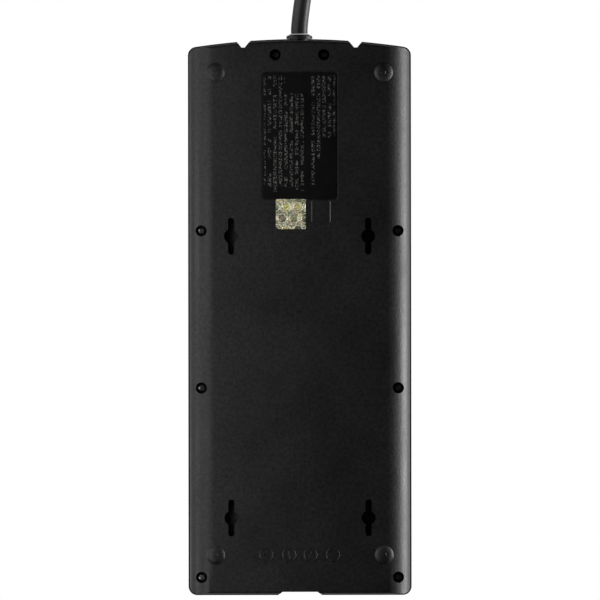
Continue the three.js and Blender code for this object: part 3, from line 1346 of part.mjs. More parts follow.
place('strain_relief', strainRelief(), 'cord');
place('cord_jacket_inside', innerJacket(), 'cord');
place('cord_line_wire', wire(CORD_LINE_WIRE), 'wireLine');
place('cord_neutral_wire', wire(CORD_NEUTRAL_WIRE), 'wireNeutral');
place('cord_ground_wire', wire(CORD_GROUND_WIRE), 'wireGround');

place('cord_lead', tube(LEAD_ROUTE, CORD_DIAMETER, LEAD_STEPS, CORD_SIDES), 'cord');
place('cord_coil', cordCoil(), 'cord');
place('cord_tail', tube(TAIL_ROUTE, CORD_DIAMETER, TAIL_STEPS, CORD_SIDES), 'cord');
place('coil_tie', coilTie(), 'tie');
place('plug_body', plugBody(), 'cord');
plugPins().forEach(({ name, solid }) => place(name, geometryOf(solid), 'steel'));

console.log(`least gap between the coil's turns: ${leastCoilGap().toFixed(2)} mm`);

export default part;
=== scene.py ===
"""Surge protector strip: its visible pieces, their finishes and the studio that it is shown in.

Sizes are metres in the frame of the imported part. The casing lies on its feet with its outlets up (+Z) and
its cord end at +Y, and the main camera looks up at its back.
"""

import json
import logging
import math
from contextlib import contextmanager
from dataclasses import dataclass
from enum import Enum
from functools import cache
from typing import Callable, Iterator, Sequence

import bmesh
import bpy
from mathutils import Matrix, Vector


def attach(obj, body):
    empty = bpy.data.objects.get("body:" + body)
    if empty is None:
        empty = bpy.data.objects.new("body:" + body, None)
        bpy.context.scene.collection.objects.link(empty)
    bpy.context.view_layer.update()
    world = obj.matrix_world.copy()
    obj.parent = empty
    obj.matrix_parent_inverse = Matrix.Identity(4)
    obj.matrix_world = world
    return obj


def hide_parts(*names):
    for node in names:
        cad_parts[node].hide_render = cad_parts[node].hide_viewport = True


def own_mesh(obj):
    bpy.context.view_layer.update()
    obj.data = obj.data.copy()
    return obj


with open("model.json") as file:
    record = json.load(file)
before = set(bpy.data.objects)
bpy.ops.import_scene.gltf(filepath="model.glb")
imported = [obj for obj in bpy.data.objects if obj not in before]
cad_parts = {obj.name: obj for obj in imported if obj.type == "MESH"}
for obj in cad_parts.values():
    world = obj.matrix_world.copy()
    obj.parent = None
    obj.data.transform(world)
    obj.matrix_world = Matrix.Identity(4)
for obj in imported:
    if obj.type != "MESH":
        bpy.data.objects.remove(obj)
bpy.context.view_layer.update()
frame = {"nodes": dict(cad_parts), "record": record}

log = logging.getLogger("strip")

MM = 0.001
QUARTER = math.pi / 2
FIT = 0.3 * MM
NEAR = FIT / 10
PAST = 1.0 * MM
MERGE = 0.002 * MM

Point = tuple[float, float]
Colour = tuple[float, float, float]
Test = Callable[[Vector, Vector], bool]
Socket = bpy.types.NodeSocket
Node = bpy.types.Node
Tree = bpy.types.NodeTree
Material = bpy.types.Material
Object = bpy.types.Object


class Finish(Enum):
    """The record's slots, each with a finish of its own."""

    CASING = "casing"
    SCREW = "screw"
    LABEL = "label"
    FOIL = "foil"
    CORD = "cord"
    TIE = "tie"
    CONTACT = "contact"
    ROCKER = "rocker"
    TRAY = "tray"
    STEEL = "steel"
    LENS = "lens"
    BOARD = "board"
    VARISTOR = "varistor"
    COMPONENT = "component"
    FERRITE = "ferrite"
    LINE = "wire_line"
    NEUTRAL = "wire_neutral"
    GROUND = "wire_ground"


Finishes = dict[Finish, Material]


# Workshop: the few shaping steps that the pieces share


class Lay(Enum):
    """The plane in which an outline is drawn, before it is given its depth."""

    PLAN = "x and y, rising along z"
    SECTION = "x and z, running along y"
    SIDE = "y and z, running along x"

    def place(self, u: float, v: float, depth: float) -> Vector:
        """Gives the point of an outline at a depth."""
        if self is Lay.PLAN:
            return Vector((u, v, depth))
        if self is Lay.SECTION:
            return Vector((u, depth, v))
        return Vector((depth, u, v))


def deselect() -> None:
    """Leaves edit mode and deselects all objects."""
    if bpy.context.mode != "OBJECT":
        bpy.ops.object.mode_set(mode="OBJECT")
    bpy.ops.object.select_all(action="DESELECT")


def pick(*objects: Object) -> None:
    """Selects these objects alone, the last one active."""
    deselect()
    for piece in objects:
        piece.select_set(True)
    bpy.context.view_layer.objects.active = objects[-1]


@contextmanager
def editing(piece: Object) -> Iterator[None]:
    """Opens a piece's mesh with nothing selected, and closes it again."""
    pick(piece)
    bpy.ops.object.mode_set(mode="EDIT")
    bpy.ops.mesh.select_all(action="DESELECT")
    yield
    bpy.ops.object.mode_set(mode="OBJECT")


def weld() -> None:
    """Merges the points of the open mesh that coincide, and turns its faces outward."""
    bpy.ops.mesh.select_all(action="SELECT")
    bpy.ops.mesh.remove_doubles(threshold=MERGE)
    bpy.ops.mesh.normals_make_consistent(inside=False)


def settle(piece: Object) -> Object:
    """Puts an object's place, turn and scale into its mesh."""
    pick(piece)
    bpy.ops.object.transform_apply(location=True, rotation=True, scale=True)
    return piece


def fresh(name: str) -> Object:
    """Names and settles the primitive that was just added."""
    piece = bpy.context.active_object
    piece.name = piece.data.name = name
    return settle(piece)


def block(name: str, low: Sequence[float], high: Sequence[float]) -> Object:
    """Makes a box from its lowest corner to its highest."""
    deselect()
    middle = [(a + b) / 2 for a, b in zip(low, high)]
    size = [b - a for a, b in zip(low, high)]
    bpy.ops.mesh.primitive_cube_add(size=1, location=middle, scale=size)
    return fresh(name)


def slab(name: str, x: float, y: float, half: Point, low: float, high: float) -> Object:
    """Makes a box about an upright axis from its half width and half length."""
    return block(name, (x - half[0], y - half[1], low), (x + half[0], y + half[1], high))


def post(name: str, x: float, y: float, diameter: float, low: float, high: float, sides: int = 40) -> Object:
    """Makes an upright round bar."""
    deselect()
    bpy.ops.mesh.primitive_cylinder_add(
        vertices=sides, radius=diameter / 2, depth=high - low, location=(x, y, (low + high) / 2)
    )
    return fresh(name)


def posts(name: str, places: Sequence[Point], diameter: float, low: float, high: float) -> list[Object]:
    """Makes an upright round bar at each place."""
    return [post(name, x, y, diameter, low, high) for x, y in places]


def quarter(steps: int, first: int = 0) -> list[float]:
    """Gives the angles of a quarter turn in equal steps."""
    return [QUARTER * step / steps for step in range(first, steps + 1)]


def arc(x: float, y: float, radius: float, start: float, end: float, steps: int = 10) -> list[Point]:
    """Gives points along a round stretch of an outline."""
    turns = [start + (end - start) * step / steps for step in range(steps + 1)]
    return [(x + radius * math.cos(turn), y + radius * math.sin(turn)) for turn in turns]


def rounded(width: float, length: float, radius: float, x: float = 0, y: float = 0, steps: int = 8) -> list[Point]:
    """Gives a rectangle's outline with round corners."""
    right, top = width / 2 - radius, length / 2 - radius
    corners = ((right, top), (-right, top), (-right, -top), (right, -top))
    return [
        point
        for count, (u, v) in enumerate(corners)
        for point in arc(x + u, y + v, radius, count * QUARTER, (count + 1) * QUARTER, steps)
    ]


def circle(x: float, y: float, diameter: float, sides: int = 40) -> list[Point]:
    """Gives a circle's outline."""
    return arc(x, y, diameter / 2, 0, 2 * math.pi * (sides - 1) / sides, sides - 1)


def prism(name: str, outline: Sequence[Point], low: float, high: float, lay: Lay = Lay.PLAN) -> Object:
    """Extrudes an outline from one depth to another.

    Args:
        name: The object's name.
        outline: The points in order.
        low: The depth of the first face.
        high: The depth of the second face.
        lay: The plane of the outline.

    Returns:
        A closed object with its faces outward.
    """
    deselect()
    bpy.ops.mesh.primitive_circle_add(vertices=len(outline), radius=1, fill_type="NGON")
    piece = fresh(name)
    for vertex, (u, v) in zip(piece.data.vertices, outline):
        vertex.co = lay.place(u, v, low)
    step = lay.place(0, 0, high) - lay.place(0, 0, low)
    with editing(piece):
        bpy.ops.mesh.select_all(action="SELECT")
        bpy.ops.mesh.extrude_region_move(TRANSFORM_OT_translate={"value": step})
        weld()
    return piece


def turned(name: str, profile: Sequence[Point], sides: int = 48) -> Object:
    """Spins a profile of radius and height round the upright axis, from axis to axis or as a closed ring.

    Args:
        name: The object's name.
        profile: Points of radius and height, in order.
        sides: Steps in the full turn.

    Returns:
        A closed object round the origin's upright axis.
    """
    deselect()
    bpy.ops.mesh.primitive_circle_add(vertices=len(profile), radius=1, fill_type="NOTHING")
    piece = fresh(name)
    for vertex, (radius, height) in zip(piece.data.vertices, profile):
        vertex.co = (radius, 0, height)
    with editing(piece):
        if max(profile[0][0], profile[-1][0]) < NEAR:
            select_edges(piece, below(NEAR, 0))
            bpy.ops.mesh.delete(type="EDGE")
        bpy.ops.mesh.select_all(action="SELECT")
        bpy.ops.mesh.spin(steps=sides, angle=2 * math.pi, center=(0, 0, 0), axis=(0, 0, 1))
        weld()
    return piece


def tube(name: str, route: Sequence[Vector], diameter: float, resolution: int = 6) -> Object:
    """Makes a round tube as a curve of one open spline, with its ends closed.

    Args:
        name: The tube's name.
        route: The points that its middle follows.
        diameter: Its diameter.
        resolution: How round it is.

    Returns:
        The curve object.
    """
    curve = bpy.data.curves.new(name, "CURVE")
    curve.dimensions = "3D"
    curve.bevel_depth = diameter / 2
    curve.bevel_resolution = resolution
    curve.use_fill_caps = True
    spline = curve.splines.new("POLY")
    spline.points.add(len(route) - 1)
    for point, place in zip(spline.points, route):
        point.co = (*place, 1)
    spline.use_smooth = True
    piece = bpy.data.objects.new(name, curve)
    bpy.context.scene.collection.objects.link(piece)
    return piece


def below(level: float, axis: int = 2) -> Test:
    """Gives the test that passes edges below a level along an axis."""
    return lambda a, b: max(a[axis], b[axis]) < level


def above(level: float, axis: int = 2) -> Test:
    """Gives the test that passes edges above a level along an axis."""
    return lambda a, b: min(a[axis], b[axis]) > level


def select_edges(piece: Object, wanted: Test, sharp: float = 0) -> None:
    """Selects the edges that are sharp enough and whose two ends pass a test, in edit mode."""
    bpy.context.tool_settings.mesh_select_mode = (False, True, False)
    mesh = bmesh.from_edit_mesh(piece.data)
    for edge in mesh.edges:
        if edge.calc_face_angle(0) >= math.radians(sharp) and wanted(edge.verts[0].co, edge.verts[1].co):
            edge.select_set(True)
    bmesh.update_edit_mesh(piece.data)


def bevel_where(piece: Object, wanted: Test, width: float, segments: int = 4, sharp: float = 0) -> Object:
    """Bevels the edges that are sharp enough and whose two ends pass a test."""
    with editing(piece):
        select_edges(piece, wanted, sharp)
        bpy.ops.mesh.bevel(offset=width, offset_type="OFFSET", segments=segments, profile=0.5, affect="EDGES")
    return piece


def move(piece: Object, x: float = 0, y: float = 0, z: float = 0) -> Object:
    """Moves a piece and settles it."""
    piece.location = (x, y, z)
    return settle(piece)


def turn(piece: Object, x: float = 0, y: float = 0, z: float = 0) -> Object:
    """Turns a piece about the origin and settles it."""
    piece.rotation_euler = (x, y, z)
    return settle(piece)


def gather(*objects: Object) -> Object:
    """Joins separate pieces into one object without merging their shapes."""
    pick(*objects)
    if len(objects) > 1:
        bpy.ops.object.join()
    return bpy.context.view_layer.objects.active


def modify(piece: Object, kind: str, **settings: object) -> Object:
    """Gives a piece a modifier with its settings, and applies it."""
    modifier = piece.modifiers.new(kind.lower(), kind)
    for name, value in settings.items():
        setattr(modifier, name, value)
    pick(piece)
    bpy.ops.object.modifier_apply(modifier=modifier.name)
    return piece


def work(piece: Object, tool: Object, operation: str) -> Object:
    """Adds, cuts or keeps one solid by another, which is used up."""
    modify(piece, "BOOLEAN", object=tool, operation=operation, solver="EXACT", use_self=False)
    bpy.data.objects.remove(tool)
    return piece


def add(piece: Object, *tools: Object) -> Object:
    """Adds solids to a piece, one after another."""
    for tool in tools:
        work(piece, tool, "UNION")
    return piece


def cut(piece: Object, *tools: Object) -> Object:
    """Cuts solids that don't touch one another out of a piece, in one step."""
    return work(piece, gather(*tools), "DIFFERENCE")


def meet(piece: Object, tool: Object) -> Object:
    """Keeps what a piece shares with a tool."""
    return work(piece, tool, "INTERSECT")


def tunnel(
    name: str, outline: Sequence[Point], room: Sequence[Point], low: float, high: float, lay: Lay = Lay.PLAN
) -> Object:
    """Extrudes an outline and cuts a room right through it."""
    return cut(prism(name, outline, low, high, lay), prism("room", room, low - PAST, high + PAST, lay))


def ease(piece: Object, width: float, segments: int = 2, angle: float = 38) -> Object:
    """Gives a piece's sharp edges a small round."""
    limit = {"limit_method": "ANGLE", "angle_limit": math.radians(angle)}
    return modify(piece, "BEVEL", width=width, segments=segments, use_clamp_overlap=True, **limit)


def shade(piece: Object, angle: float = 32) -> Object:
    """Shades a piece smooth between its sharp edges, with normals that keep its large faces flat."""
    pick(piece)
    bpy.ops.object.shade_smooth_by_angle(angle=math.radians(angle))
    return modify(piece, "WEIGHTED_NORMAL", keep_sharp=True)


def copied(piece: Object, name: str) -> Object:
    """Copies a piece with its own mesh."""
    copy = piece.copy()
    copy.data = piece.data.copy()
    copy.name = copy.data.name = name
    bpy.context.scene.collection.objects.link(copy)
    return copy


def hand_over(piece: Object, body: str, finishes: Finishes, finish: Finish, *nodes: str) -> Object:
    """Dresses a finished piece, fixes it to its body and hides the CAD nodes in its place.

    Args:
        piece: The finished object.
        body: The body that it moves with.
        finishes: The material of each finish.
        finish: The piece's finish.
        *nodes: The CAD nodes that it hides.

    Returns:
        The same object.
    """
    if piece.type == "MESH":
        shade(piece)
    piece.data.materials.clear()
    piece.data.materials.append(finishes[finish])
    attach(piece, body)
    if nodes:
        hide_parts(*nodes)
    log.info("%s on %s for %s", piece.name, body, ", ".join(nodes) or "no node")
    return piece


# Finishes


def arithmetic(operation: str, swapped: bool = False) -> Callable[..., "Wire"]:
    """Gives the method of a wire that adds a Math node, with the wire as its last value if swapped."""

    def method(wire: "Wire", *others: object) -> "Wire":
        """Adds the node."""
        return wire.sheet.math(operation, *((*others, wire) if swapped else (wire, *others)))

    return method


@dataclass(frozen=True, eq=False)
class Wire:
    """What a socket brings, on which arithmetic adds Math nodes."""

    sheet: "Sheet"
    socket: Socket

    __add__ = arithmetic("ADD")
    __sub__ = arithmetic("SUBTRACT")
    __rsub__ = arithmetic("SUBTRACT", True)
    __mul__ = arithmetic("MULTIPLY")
    __truediv__ = arithmetic("DIVIDE")
    __rtruediv__ = arithmetic("DIVIDE", True)
    __gt__ = arithmetic("GREATER_THAN")
    __lt__ = arithmetic("LESS_THAN")
    __abs__ = arithmetic("ABSOLUTE")
    floor = arithmetic("FLOOR")
    fract = arithmetic("FRACT")
    most = arithmetic("MAXIMUM")
    sine = arithmetic("SINE")
    remainder = arithmetic("FLOORED_MODULO")

    def between(self, low: float, high: float) -> "Wire":
        """Gives a mask that is one between two values."""
        return (self > low) * (self < high)


class Sheet:
    """A node tree with short calls for the nodes that repeat in it."""

    def __init__(self, tree: Tree) -> None:
        """Keeps the tree."""
        self.tree = tree

    @classmethod
    def shared(cls, name: str, **inputs: float) -> tuple["Sheet", list[Wire]]:
        """Starts a node group.

        Args:
            name: The group's name.
            **inputs: The number inputs and their usual values.

        Returns:
            The group's sheet, and what its inputs bring, in their order.
        """
        tree = bpy.data.node_groups.new(name, "ShaderNodeTree")
        for title, value in inputs.items():
            entry = tree.interface.new_socket(spaced(title), in_out="INPUT", socket_type="NodeSocketFloat")
            entry.default_value = value
        sheet = cls(tree)
        return sheet, [Wire(sheet, socket) for _, socket in zip(inputs, sheet.node("NodeGroupInput").outputs)]

    def give(self, **results: Wire) -> Tree:
        """Ends a node group with what it gives: a normal as a vector, and the rest as numbers."""
        for title in results:
            kind = "NodeSocketVector" if title == "Normal" else "NodeSocketFloat"
            self.tree.interface.new_socket(title, in_out="OUTPUT", socket_type=kind)
        leave = self.node("NodeGroupOutput")
        for title, value in results.items():
            self.feed(leave.inputs[title], value)
        return self.tree

    def group(self, tree: Tree, **values: float) -> dict[str, Wire]:
        """Places a node group with its own values, and gives its outputs by name."""
        node = self.node("ShaderNodeGroup", node_tree=tree)
        for title, value in values.items():
            node.inputs[spaced(title)].default_value = value
        return {socket.name: Wire(self, socket) for socket in node.outputs}

    def node(self, kind: str, **settings: object) -> Node:
        """Adds a node with its settings."""
        node = self.tree.nodes.new(kind)
        for name, value in settings.items():
            setattr(node, name, value)
        return node

    def feed(self, socket: Socket, value: object) -> None:
        """Links a socket, or sets its plain value."""
        if isinstance(value, Wire):
            self.tree.links.new(value.socket, socket)
        else:
            socket.default_value = value

    def call(self, kind: str, *values: object, out: int | str = 0, **settings: object) -> Wire:
        """Adds a node, feeds its first inputs and gives one of its outputs."""
        node = self.node(kind, **settings)
        for socket, value in zip(node.inputs, values):
            self.feed(socket, value)
        return Wire(self, node.outputs[out])

    def math(self, operation: str, *values: object) -> Wire:
        """Adds a Math node."""
        return self.call("ShaderNodeMath", *values, operation=operation)

    def mix(self, factor: object, a: object, b: object) -> Wire:
        """Mixes two colours."""
        node = self.node("ShaderNodeMix", data_type="RGBA")
        for index, value in ((0, factor), (6, a), (7, b)):
            self.feed(node.inputs[index], value)
        return Wire(self, node.outputs[2])

    def tints(self, mask: Wire, colour: Colour, low: float, high: float) -> Wire:
        """Runs from one tint of a colour to another with a mask."""
        return self.mix(mask, tint(colour, low), tint(colour, high))

    def spread(self, value: Wire, low: float, high: float, to_low: float = 0, to_high: float = 1) -> Wire:
        """Maps one range onto another and keeps to its ends."""
        return self.call("ShaderNodeMapRange", value, low, high, to_low, to_high, clamp=True)

    def place(self) -> Wire:
        """Gives the piece's own coordinates."""
        return self.call("ShaderNodeTexCoord", out="Object")

    def axes(self, vector: Wire) -> list[Wire]:
        """Splits a vector into its three parts."""
        node = self.node("ShaderNodeSeparateXYZ")
        self.feed(node.inputs[0], vector)
        return [Wire(self, socket) for socket in node.outputs]

    def vector(self, x: object, y: object, z: object = 0) -> Wire:
        """Builds a vector from three parts."""
        return self.call("ShaderNodeCombineXYZ", x, y, z)

    def noise(self, vector: Wire, size: Wire | float, detail: float = 2, rough: float = 0.5) -> Wire:
        """Adds noise whose grains are about size across, in metres."""
        node = self.node("ShaderNodeTexNoise")
        for name, value in (("Vector", vector), ("Scale", 1 / size), ("Detail", detail), ("Roughness", rough)):
            self.feed(node.inputs[name], value)
        return Wire(self, node.outputs["Fac"])

    def bump(self, height: Wire, depth: Wire | float) -> Wire:
        """Turns a height into a normal."""
        node = self.node("ShaderNodeBump")
        self.feed(node.inputs["Height"], height)
        self.feed(node.inputs["Distance"], depth)
        return Wire(self, node.outputs[0])

    def dress(self, shader: Node, base: Wire, rough: Wire, normal: Wire | None, **plain: float) -> None:
        """Feeds a shader's colour, roughness and normal, and sets its plain values."""
        for name, value in (("Base Color", base), ("Roughness", rough), ("Normal", normal)):
            if value is not None:
                self.feed(shader.inputs[name], value)
        for name, value in plain.items():
            shader.inputs[spaced(name)].default_value = value


def spaced(name: str) -> str:
    """Gives a socket's name from its name in a call."""
    return name.replace("_", " ")


@cache
def grain_effect() -> Tree:
    """Builds the spark-eroded grain of moulded plastic: a normal, a mask of its hollows and a soft mottle."""
    sheet, (size, depth) = Sheet.shared("moulded grain", Size=0.5 * MM, Depth=0.03 * MM)
    place = sheet.place()
    fine = sheet.noise(place, size, 2, 0.6)
    coarse = sheet.noise(place, size * 1.7, 2, 0.7)
    return sheet.give(
        Normal=sheet.bump(fine * 0.75 + coarse * 0.25, depth),
        Hollows=sheet.spread(fine, 0.62, 0.38),
        Mottle=sheet.spread(coarse, 0.36, 0.64),
    )


@cache
def handling_effect() -> Tree:
    """Builds the faint clouding and dust that handling leaves: a soft cloud mask and a speck mask."""
    sheet, (cloud_size, speck_size) = Sheet.shared("handling", Cloud_Size=40 * MM, Speck_Size=1.2 * MM)
    place = sheet.place()
    return sheet.give(
        Clouds=sheet.spread(sheet.noise(place, cloud_size, 3, 0.55), 0.3, 0.7),
        Specks=sheet.spread(sheet.noise(place, speck_size, 1), 0.73, 0.8),
    )


@cache
def drawn_effect() -> Tree:
    """Builds the fine lines of drawn or plated metal: a normal and a line mask."""
    sheet, (line_size, depth) = Sheet.shared("drawn lines", Line_Size=0.25 * MM, Depth=0.01 * MM)
    stretch = sheet.node("ShaderNodeMapping")
    sheet.feed(stretch.inputs["Vector"], sheet.place())
    stretch.inputs["Scale"].default_value = (1, 0.06, 1)
    lines = sheet.noise(Wire(sheet, stretch.outputs[0]), line_size, 2)
    return sheet.give(Normal=sheet.bump(lines, depth), Lines=sheet.spread(lines, 0.35, 0.65))


def new_material(name: str) -> tuple[Material, Sheet, Node]:
    """Starts a material.

    Args:
        name: The material's name.

    Returns:
        The material, its sheet and its Principled shader.
    """
    material = bpy.data.materials.new(name)
    material.use_nodes = True
    return material, Sheet(material.node_tree), material.node_tree.nodes["Principled BSDF"]


def tint(colour: Colour, factor: float = 1) -> tuple[float, float, float, float]:
    """Lightens or darkens a colour."""
    return tuple(min(part * factor, 1) for part in colour) + (1,)


@dataclass(frozen=True)
class Surface:
    """What every finish has: its name and the way to its material."""

    name: str

    def paint(self, sheet: Sheet, shader: Node) -> None:
        """Paints the shader."""
        raise NotImplementedError

    def material(self) -> Material:
        """Builds the material."""
        material, sheet, shader = new_material(self.name)
        self.paint(sheet, shader)
        return material


@dataclass(frozen=True)
class Plastic(Surface):
    """Moulded plastic or rubber with its grain, clouding and specks; painted shade darkens the grain's hollows and a
    dull band along a seam.
    """

    colour: Colour
    rough: float
    rough_swing: float = 0.08
    grain: float = 0.5 * MM
    depth: float = 0.03 * MM
    cloud: float = 0.18
    mottle: float = 0.15
    mottle_tint: float = 0.3
    hollow: float = 0.3
    hollow_shade_tint: float = 0.45
    speck: float = 0.5
    speck_light: float = 1.6
    seam_z: float | None = None
    seam_band: Point = (0.7 * MM, 0.4 * MM)
    seam_shade_tint: float = 0.15

    def paint(self, sheet: Sheet, shader: Node) -> None:
        """Paints the shader."""
        grain = sheet.group(grain_effect(), Size=self.grain, Depth=self.depth)
        handling = sheet.group(handling_effect())
        clouds, swing = handling["Clouds"], self.rough_swing / 2
        rough = sheet.spread(clouds, 0, 1, self.rough - swing, self.rough + swing)
        rough = sheet.math("MULTIPLY_ADD", grain["Hollows"], swing, rough)
        base = sheet.tints(clouds, self.colour, 1 - self.cloud, 1 + self.cloud)
        base = sheet.mix(handling["Specks"] * self.speck, base, tint(self.colour, self.speck_light))
        base = sheet.mix(grain["Mottle"] * self.mottle, base, tint(self.colour, self.mottle_tint))
        # Painted shade: the grain's hollows are darkened in colour, as if shaded.
        base = sheet.mix(grain["Hollows"] * self.hollow, base, tint(self.colour, self.hollow_shade_tint))
        # Painted shade: a narrow band about the seam height, where the shells meet, is darkened in colour; the band is
        # made rougher too.
        if self.seam_z is not None:
            height = sheet.axes(sheet.place())[2]
            seam = sheet.spread(abs(height - self.seam_z), *self.seam_band)
            base = sheet.mix(seam, base, tint(self.colour, self.seam_shade_tint))
            rough = rough.most(seam)
        sheet.dress(shader, base, rough, grain["Normal"])


@dataclass(frozen=True)
class Metal(Surface):
    """Plated, drawn or blackened metal."""

    colour: Colour
    rough: float
    tarnish: float = 0.15
    tarnish_size: float = 9 * MM
    rough_spread: Point = (-0.05, 0.08)

    def paint(self, sheet: Sheet, shader: Node) -> None:
        """Paints the shader."""
        drawn = sheet.group(drawn_effect())
        clouds = sheet.group(handling_effect(), Cloud_Size=self.tarnish_size)["Clouds"]
        base = sheet.tints(clouds, self.colour, 1 - self.tarnish, 1 + self.tarnish)
        rough = sheet.spread(drawn["Lines"], 0, 1, *[self.rough + more for more in self.rough_spread])
        sheet.dress(shader, base, rough, drawn["Normal"], Metallic=1)


@dataclass(frozen=True)
class Lens(Surface):
    """Clear plastic with a faint tint, for the light pipes and lamps."""

    colour: Colour
    rough: float = 0.16
    cloud_size: float = 2.5 * MM
    clear: float = 0.75
    bending: float = 1.49

    def paint(self, sheet: Sheet, shader: Node) -> None:
        """Paints the shader."""
        clouds = sheet.group(handling_effect(), Cloud_Size=self.cloud_size)["Clouds"]
        base = sheet.tints(clouds, self.colour, 0.9, 1.05)
        rough = sheet.spread(clouds, 0, 1, self.rough, self.rough + 0.06)
        sheet.dress(shader, base, rough, None, Transmission_Weight=self.clear, IOR=self.bending)


@dataclass(frozen=True)
class PrintedFilm(Surface):
    """The label's satin black film with rows of faint broken strokes in place of print."""

    centre_y: float
    width: float
    length: float
    film: Colour = (0.004, 0.004, 0.004)
    ink: Colour = (0.26, 0.26, 0.25)
    row: float = 3.1 * MM
    row_band: Point = (0.2, 0.8)
    stroke: float = 0.95 * MM
    word: float = 5.5 * MM
    margin: float = 1.8 * MM
    gap_x: float = -4.6 * MM
    gap: float = 2.0 * MM
    blank: Point = (13 * MM, 12 * MM)
    ragged: float = 9 * MM
    step_xs: Point = (-15 * MM, -8 * MM)
    step: float = 33 * MM

    def strokes(self, sheet: Sheet, x: Wire, y: Wire) -> Wire:
        """Gives the mask of the broken strokes, row by row."""
        across = x / self.row
        words_at = sheet.vector(across.floor() * 7.31, y / self.word)
        words = sheet.noise(words_at, 1) > 0.42
        specks_at = sheet.vector(x / self.stroke, y / self.stroke)
        specks = sheet.spread(sheet.noise(specks_at, 1, 1), 0.52, 0.58)
        return across.fract().between(*self.row_band) * words * specks

    def ends(self, sheet: Sheet, x: Wire) -> Wire:
        """Gives how far down each row runs: ragged beyond the gap, and stepped up towards the edge."""
        line = (x / self.row).floor()
        foot = self.centre_y - self.length / 2 + self.margin
        ragged_at = sheet.vector(line * 1.93, 0)
        ragged = sheet.spread(sheet.noise(ragged_at, 1, 0), 0.35, 0.75, foot, foot + self.ragged)
        stepped = sheet.spread(line * self.row, *self.step_xs, foot + self.step, foot)
        return ragged.most(stepped)

    def paint(self, sheet: Sheet, shader: Node) -> None:
        """Paints the shader."""
        x, y, _ = sheet.axes(sheet.place())
        half, top = self.width / 2 - self.margin / 2, self.centre_y + self.length / 2
        gap = x.between(self.gap_x - self.gap / 2, self.gap_x + self.gap / 2)
        blank = x.between(self.gap_x, self.gap_x + self.blank[0]) * (y > top - self.blank[1])
        field = x.between(-half, half) * (y < top - self.margin) * (y > self.ends(sheet, x))
        ink = self.strokes(sheet, x, y) * field * (1 - gap.most(blank))
        clouds = sheet.group(handling_effect(), Cloud_Size=14 * MM)["Clouds"]
        film = sheet.tints(clouds, self.film, 0.8, 1.25)
        base = sheet.mix(ink * sheet.spread(clouds, 0, 1, 0.5, 1), film, tint(self.ink))
        grain = sheet.group(grain_effect(), Size=0.6 * MM, Depth=0.006 * MM)
        sheet.dress(shader, base, sheet.spread(clouds, 0, 1, 0.3, 0.36), grain["Normal"])


@dataclass(frozen=True)
class Foil(Surface):
    """The seal's pale gold foil with a plain lattice of rings and discs, and drifts of green and rose."""

    cell: float = 6.6 * MM
    row_shift: float = 0.35
    ring: float = 0.4
    ring_width: float = 0.08
    gold: Colour = (0.92, 0.8, 0.45)
    green: Colour = (0.3, 0.39, 0.19)
    rose: Colour = (0.64, 0.42, 0.3)
    pale: Colour = (1.0, 1.0, 0.8)
    yellow: Colour = (1.0, 0.92, 0.35)
    dark: Colour = (0.07, 0.09, 0.06)
    relief: float = 1.2 * MM

    def paint(self, sheet: Sheet, shader: Node) -> None:
        """Paints the shader."""
        place = sheet.place()
        x, y, _ = sheet.axes(place)
        row_at = y / self.cell
        row = row_at.floor()
        column_at = x / self.cell + row.remainder(2) * self.row_shift
        local = sheet.vector(column_at.fract() - 0.5, row_at.fract() - 0.5)
        radius = sheet.call("ShaderNodeVectorMath", local, operation="LENGTH", out="Value")
        cell_at = sheet.vector(column_at.floor(), row)
        chance = sheet.call("ShaderNodeTexWhiteNoise", cell_at, noise_dimensions="2D")
        rings = sheet.spread(abs(radius - self.ring), self.ring_width, self.ring_width / 2)
        discs = sheet.spread(radius, self.ring - self.ring_width / 2, self.ring - self.ring_width)
        hue = sheet.noise(place, 4.6 * MM, 2, 0.6)
        drift = sheet.noise(place, 1.9 * MM)
        ground = sheet.mix(sheet.spread(hue, 0.42, 0.58), tint(self.green), tint(self.gold))
        ground = sheet.mix(sheet.spread(drift, 0.54, 0.64), ground, tint(self.rose))
        ground = sheet.mix(sheet.spread(drift, 0.46, 0.38), ground, tint(self.pale))
        inner = sheet.mix(sheet.spread(chance, 0.4, 0.44), tint(self.yellow), tint(self.dark))
        inner = sheet.mix(sheet.spread(hue, 0.45, 0.75), inner, ground)
        base = sheet.mix(rings, sheet.mix(discs, ground, inner), tint(self.pale))
        normal = sheet.bump(rings + drift * 2, self.relief)
        sheet.dress(shader, base, sheet.spread(drift, 0.3, 0.7, 0.3, 0.5), normal, Metallic=0.3)


@dataclass(frozen=True)
class Woven(Surface):
    """The strap's black hook and loop weave, painted lighter on its raised threads and darker between them."""

    colour: Colour = (0.014, 0.014, 0.015)
    thread: float = 0.55 * MM
    sheen: float = 0.3

    def paint(self, sheet: Sheet, shader: Node) -> None:
        """Paints the shader."""
        x, y, z = sheet.axes(sheet.place())
        beat = math.pi / self.thread
        fluff = sheet.noise(sheet.place(), 0.3 * MM)
        height = ((x + y) * beat).sine() * (z * beat).sine() + fluff
        # Painted light and shade: the colour is lighter on the raised threads and darker between them.
        base = sheet.tints(sheet.spread(height, -0.6, 1.6), self.colour, 0.6, 2)
        rough = sheet.spread(fluff, 0.3, 0.7, 0.8, 0.95)
        sheet.dress(shader, base, rough, sheet.bump(height, 0.12 * MM), Sheen_Weight=self.sheen)


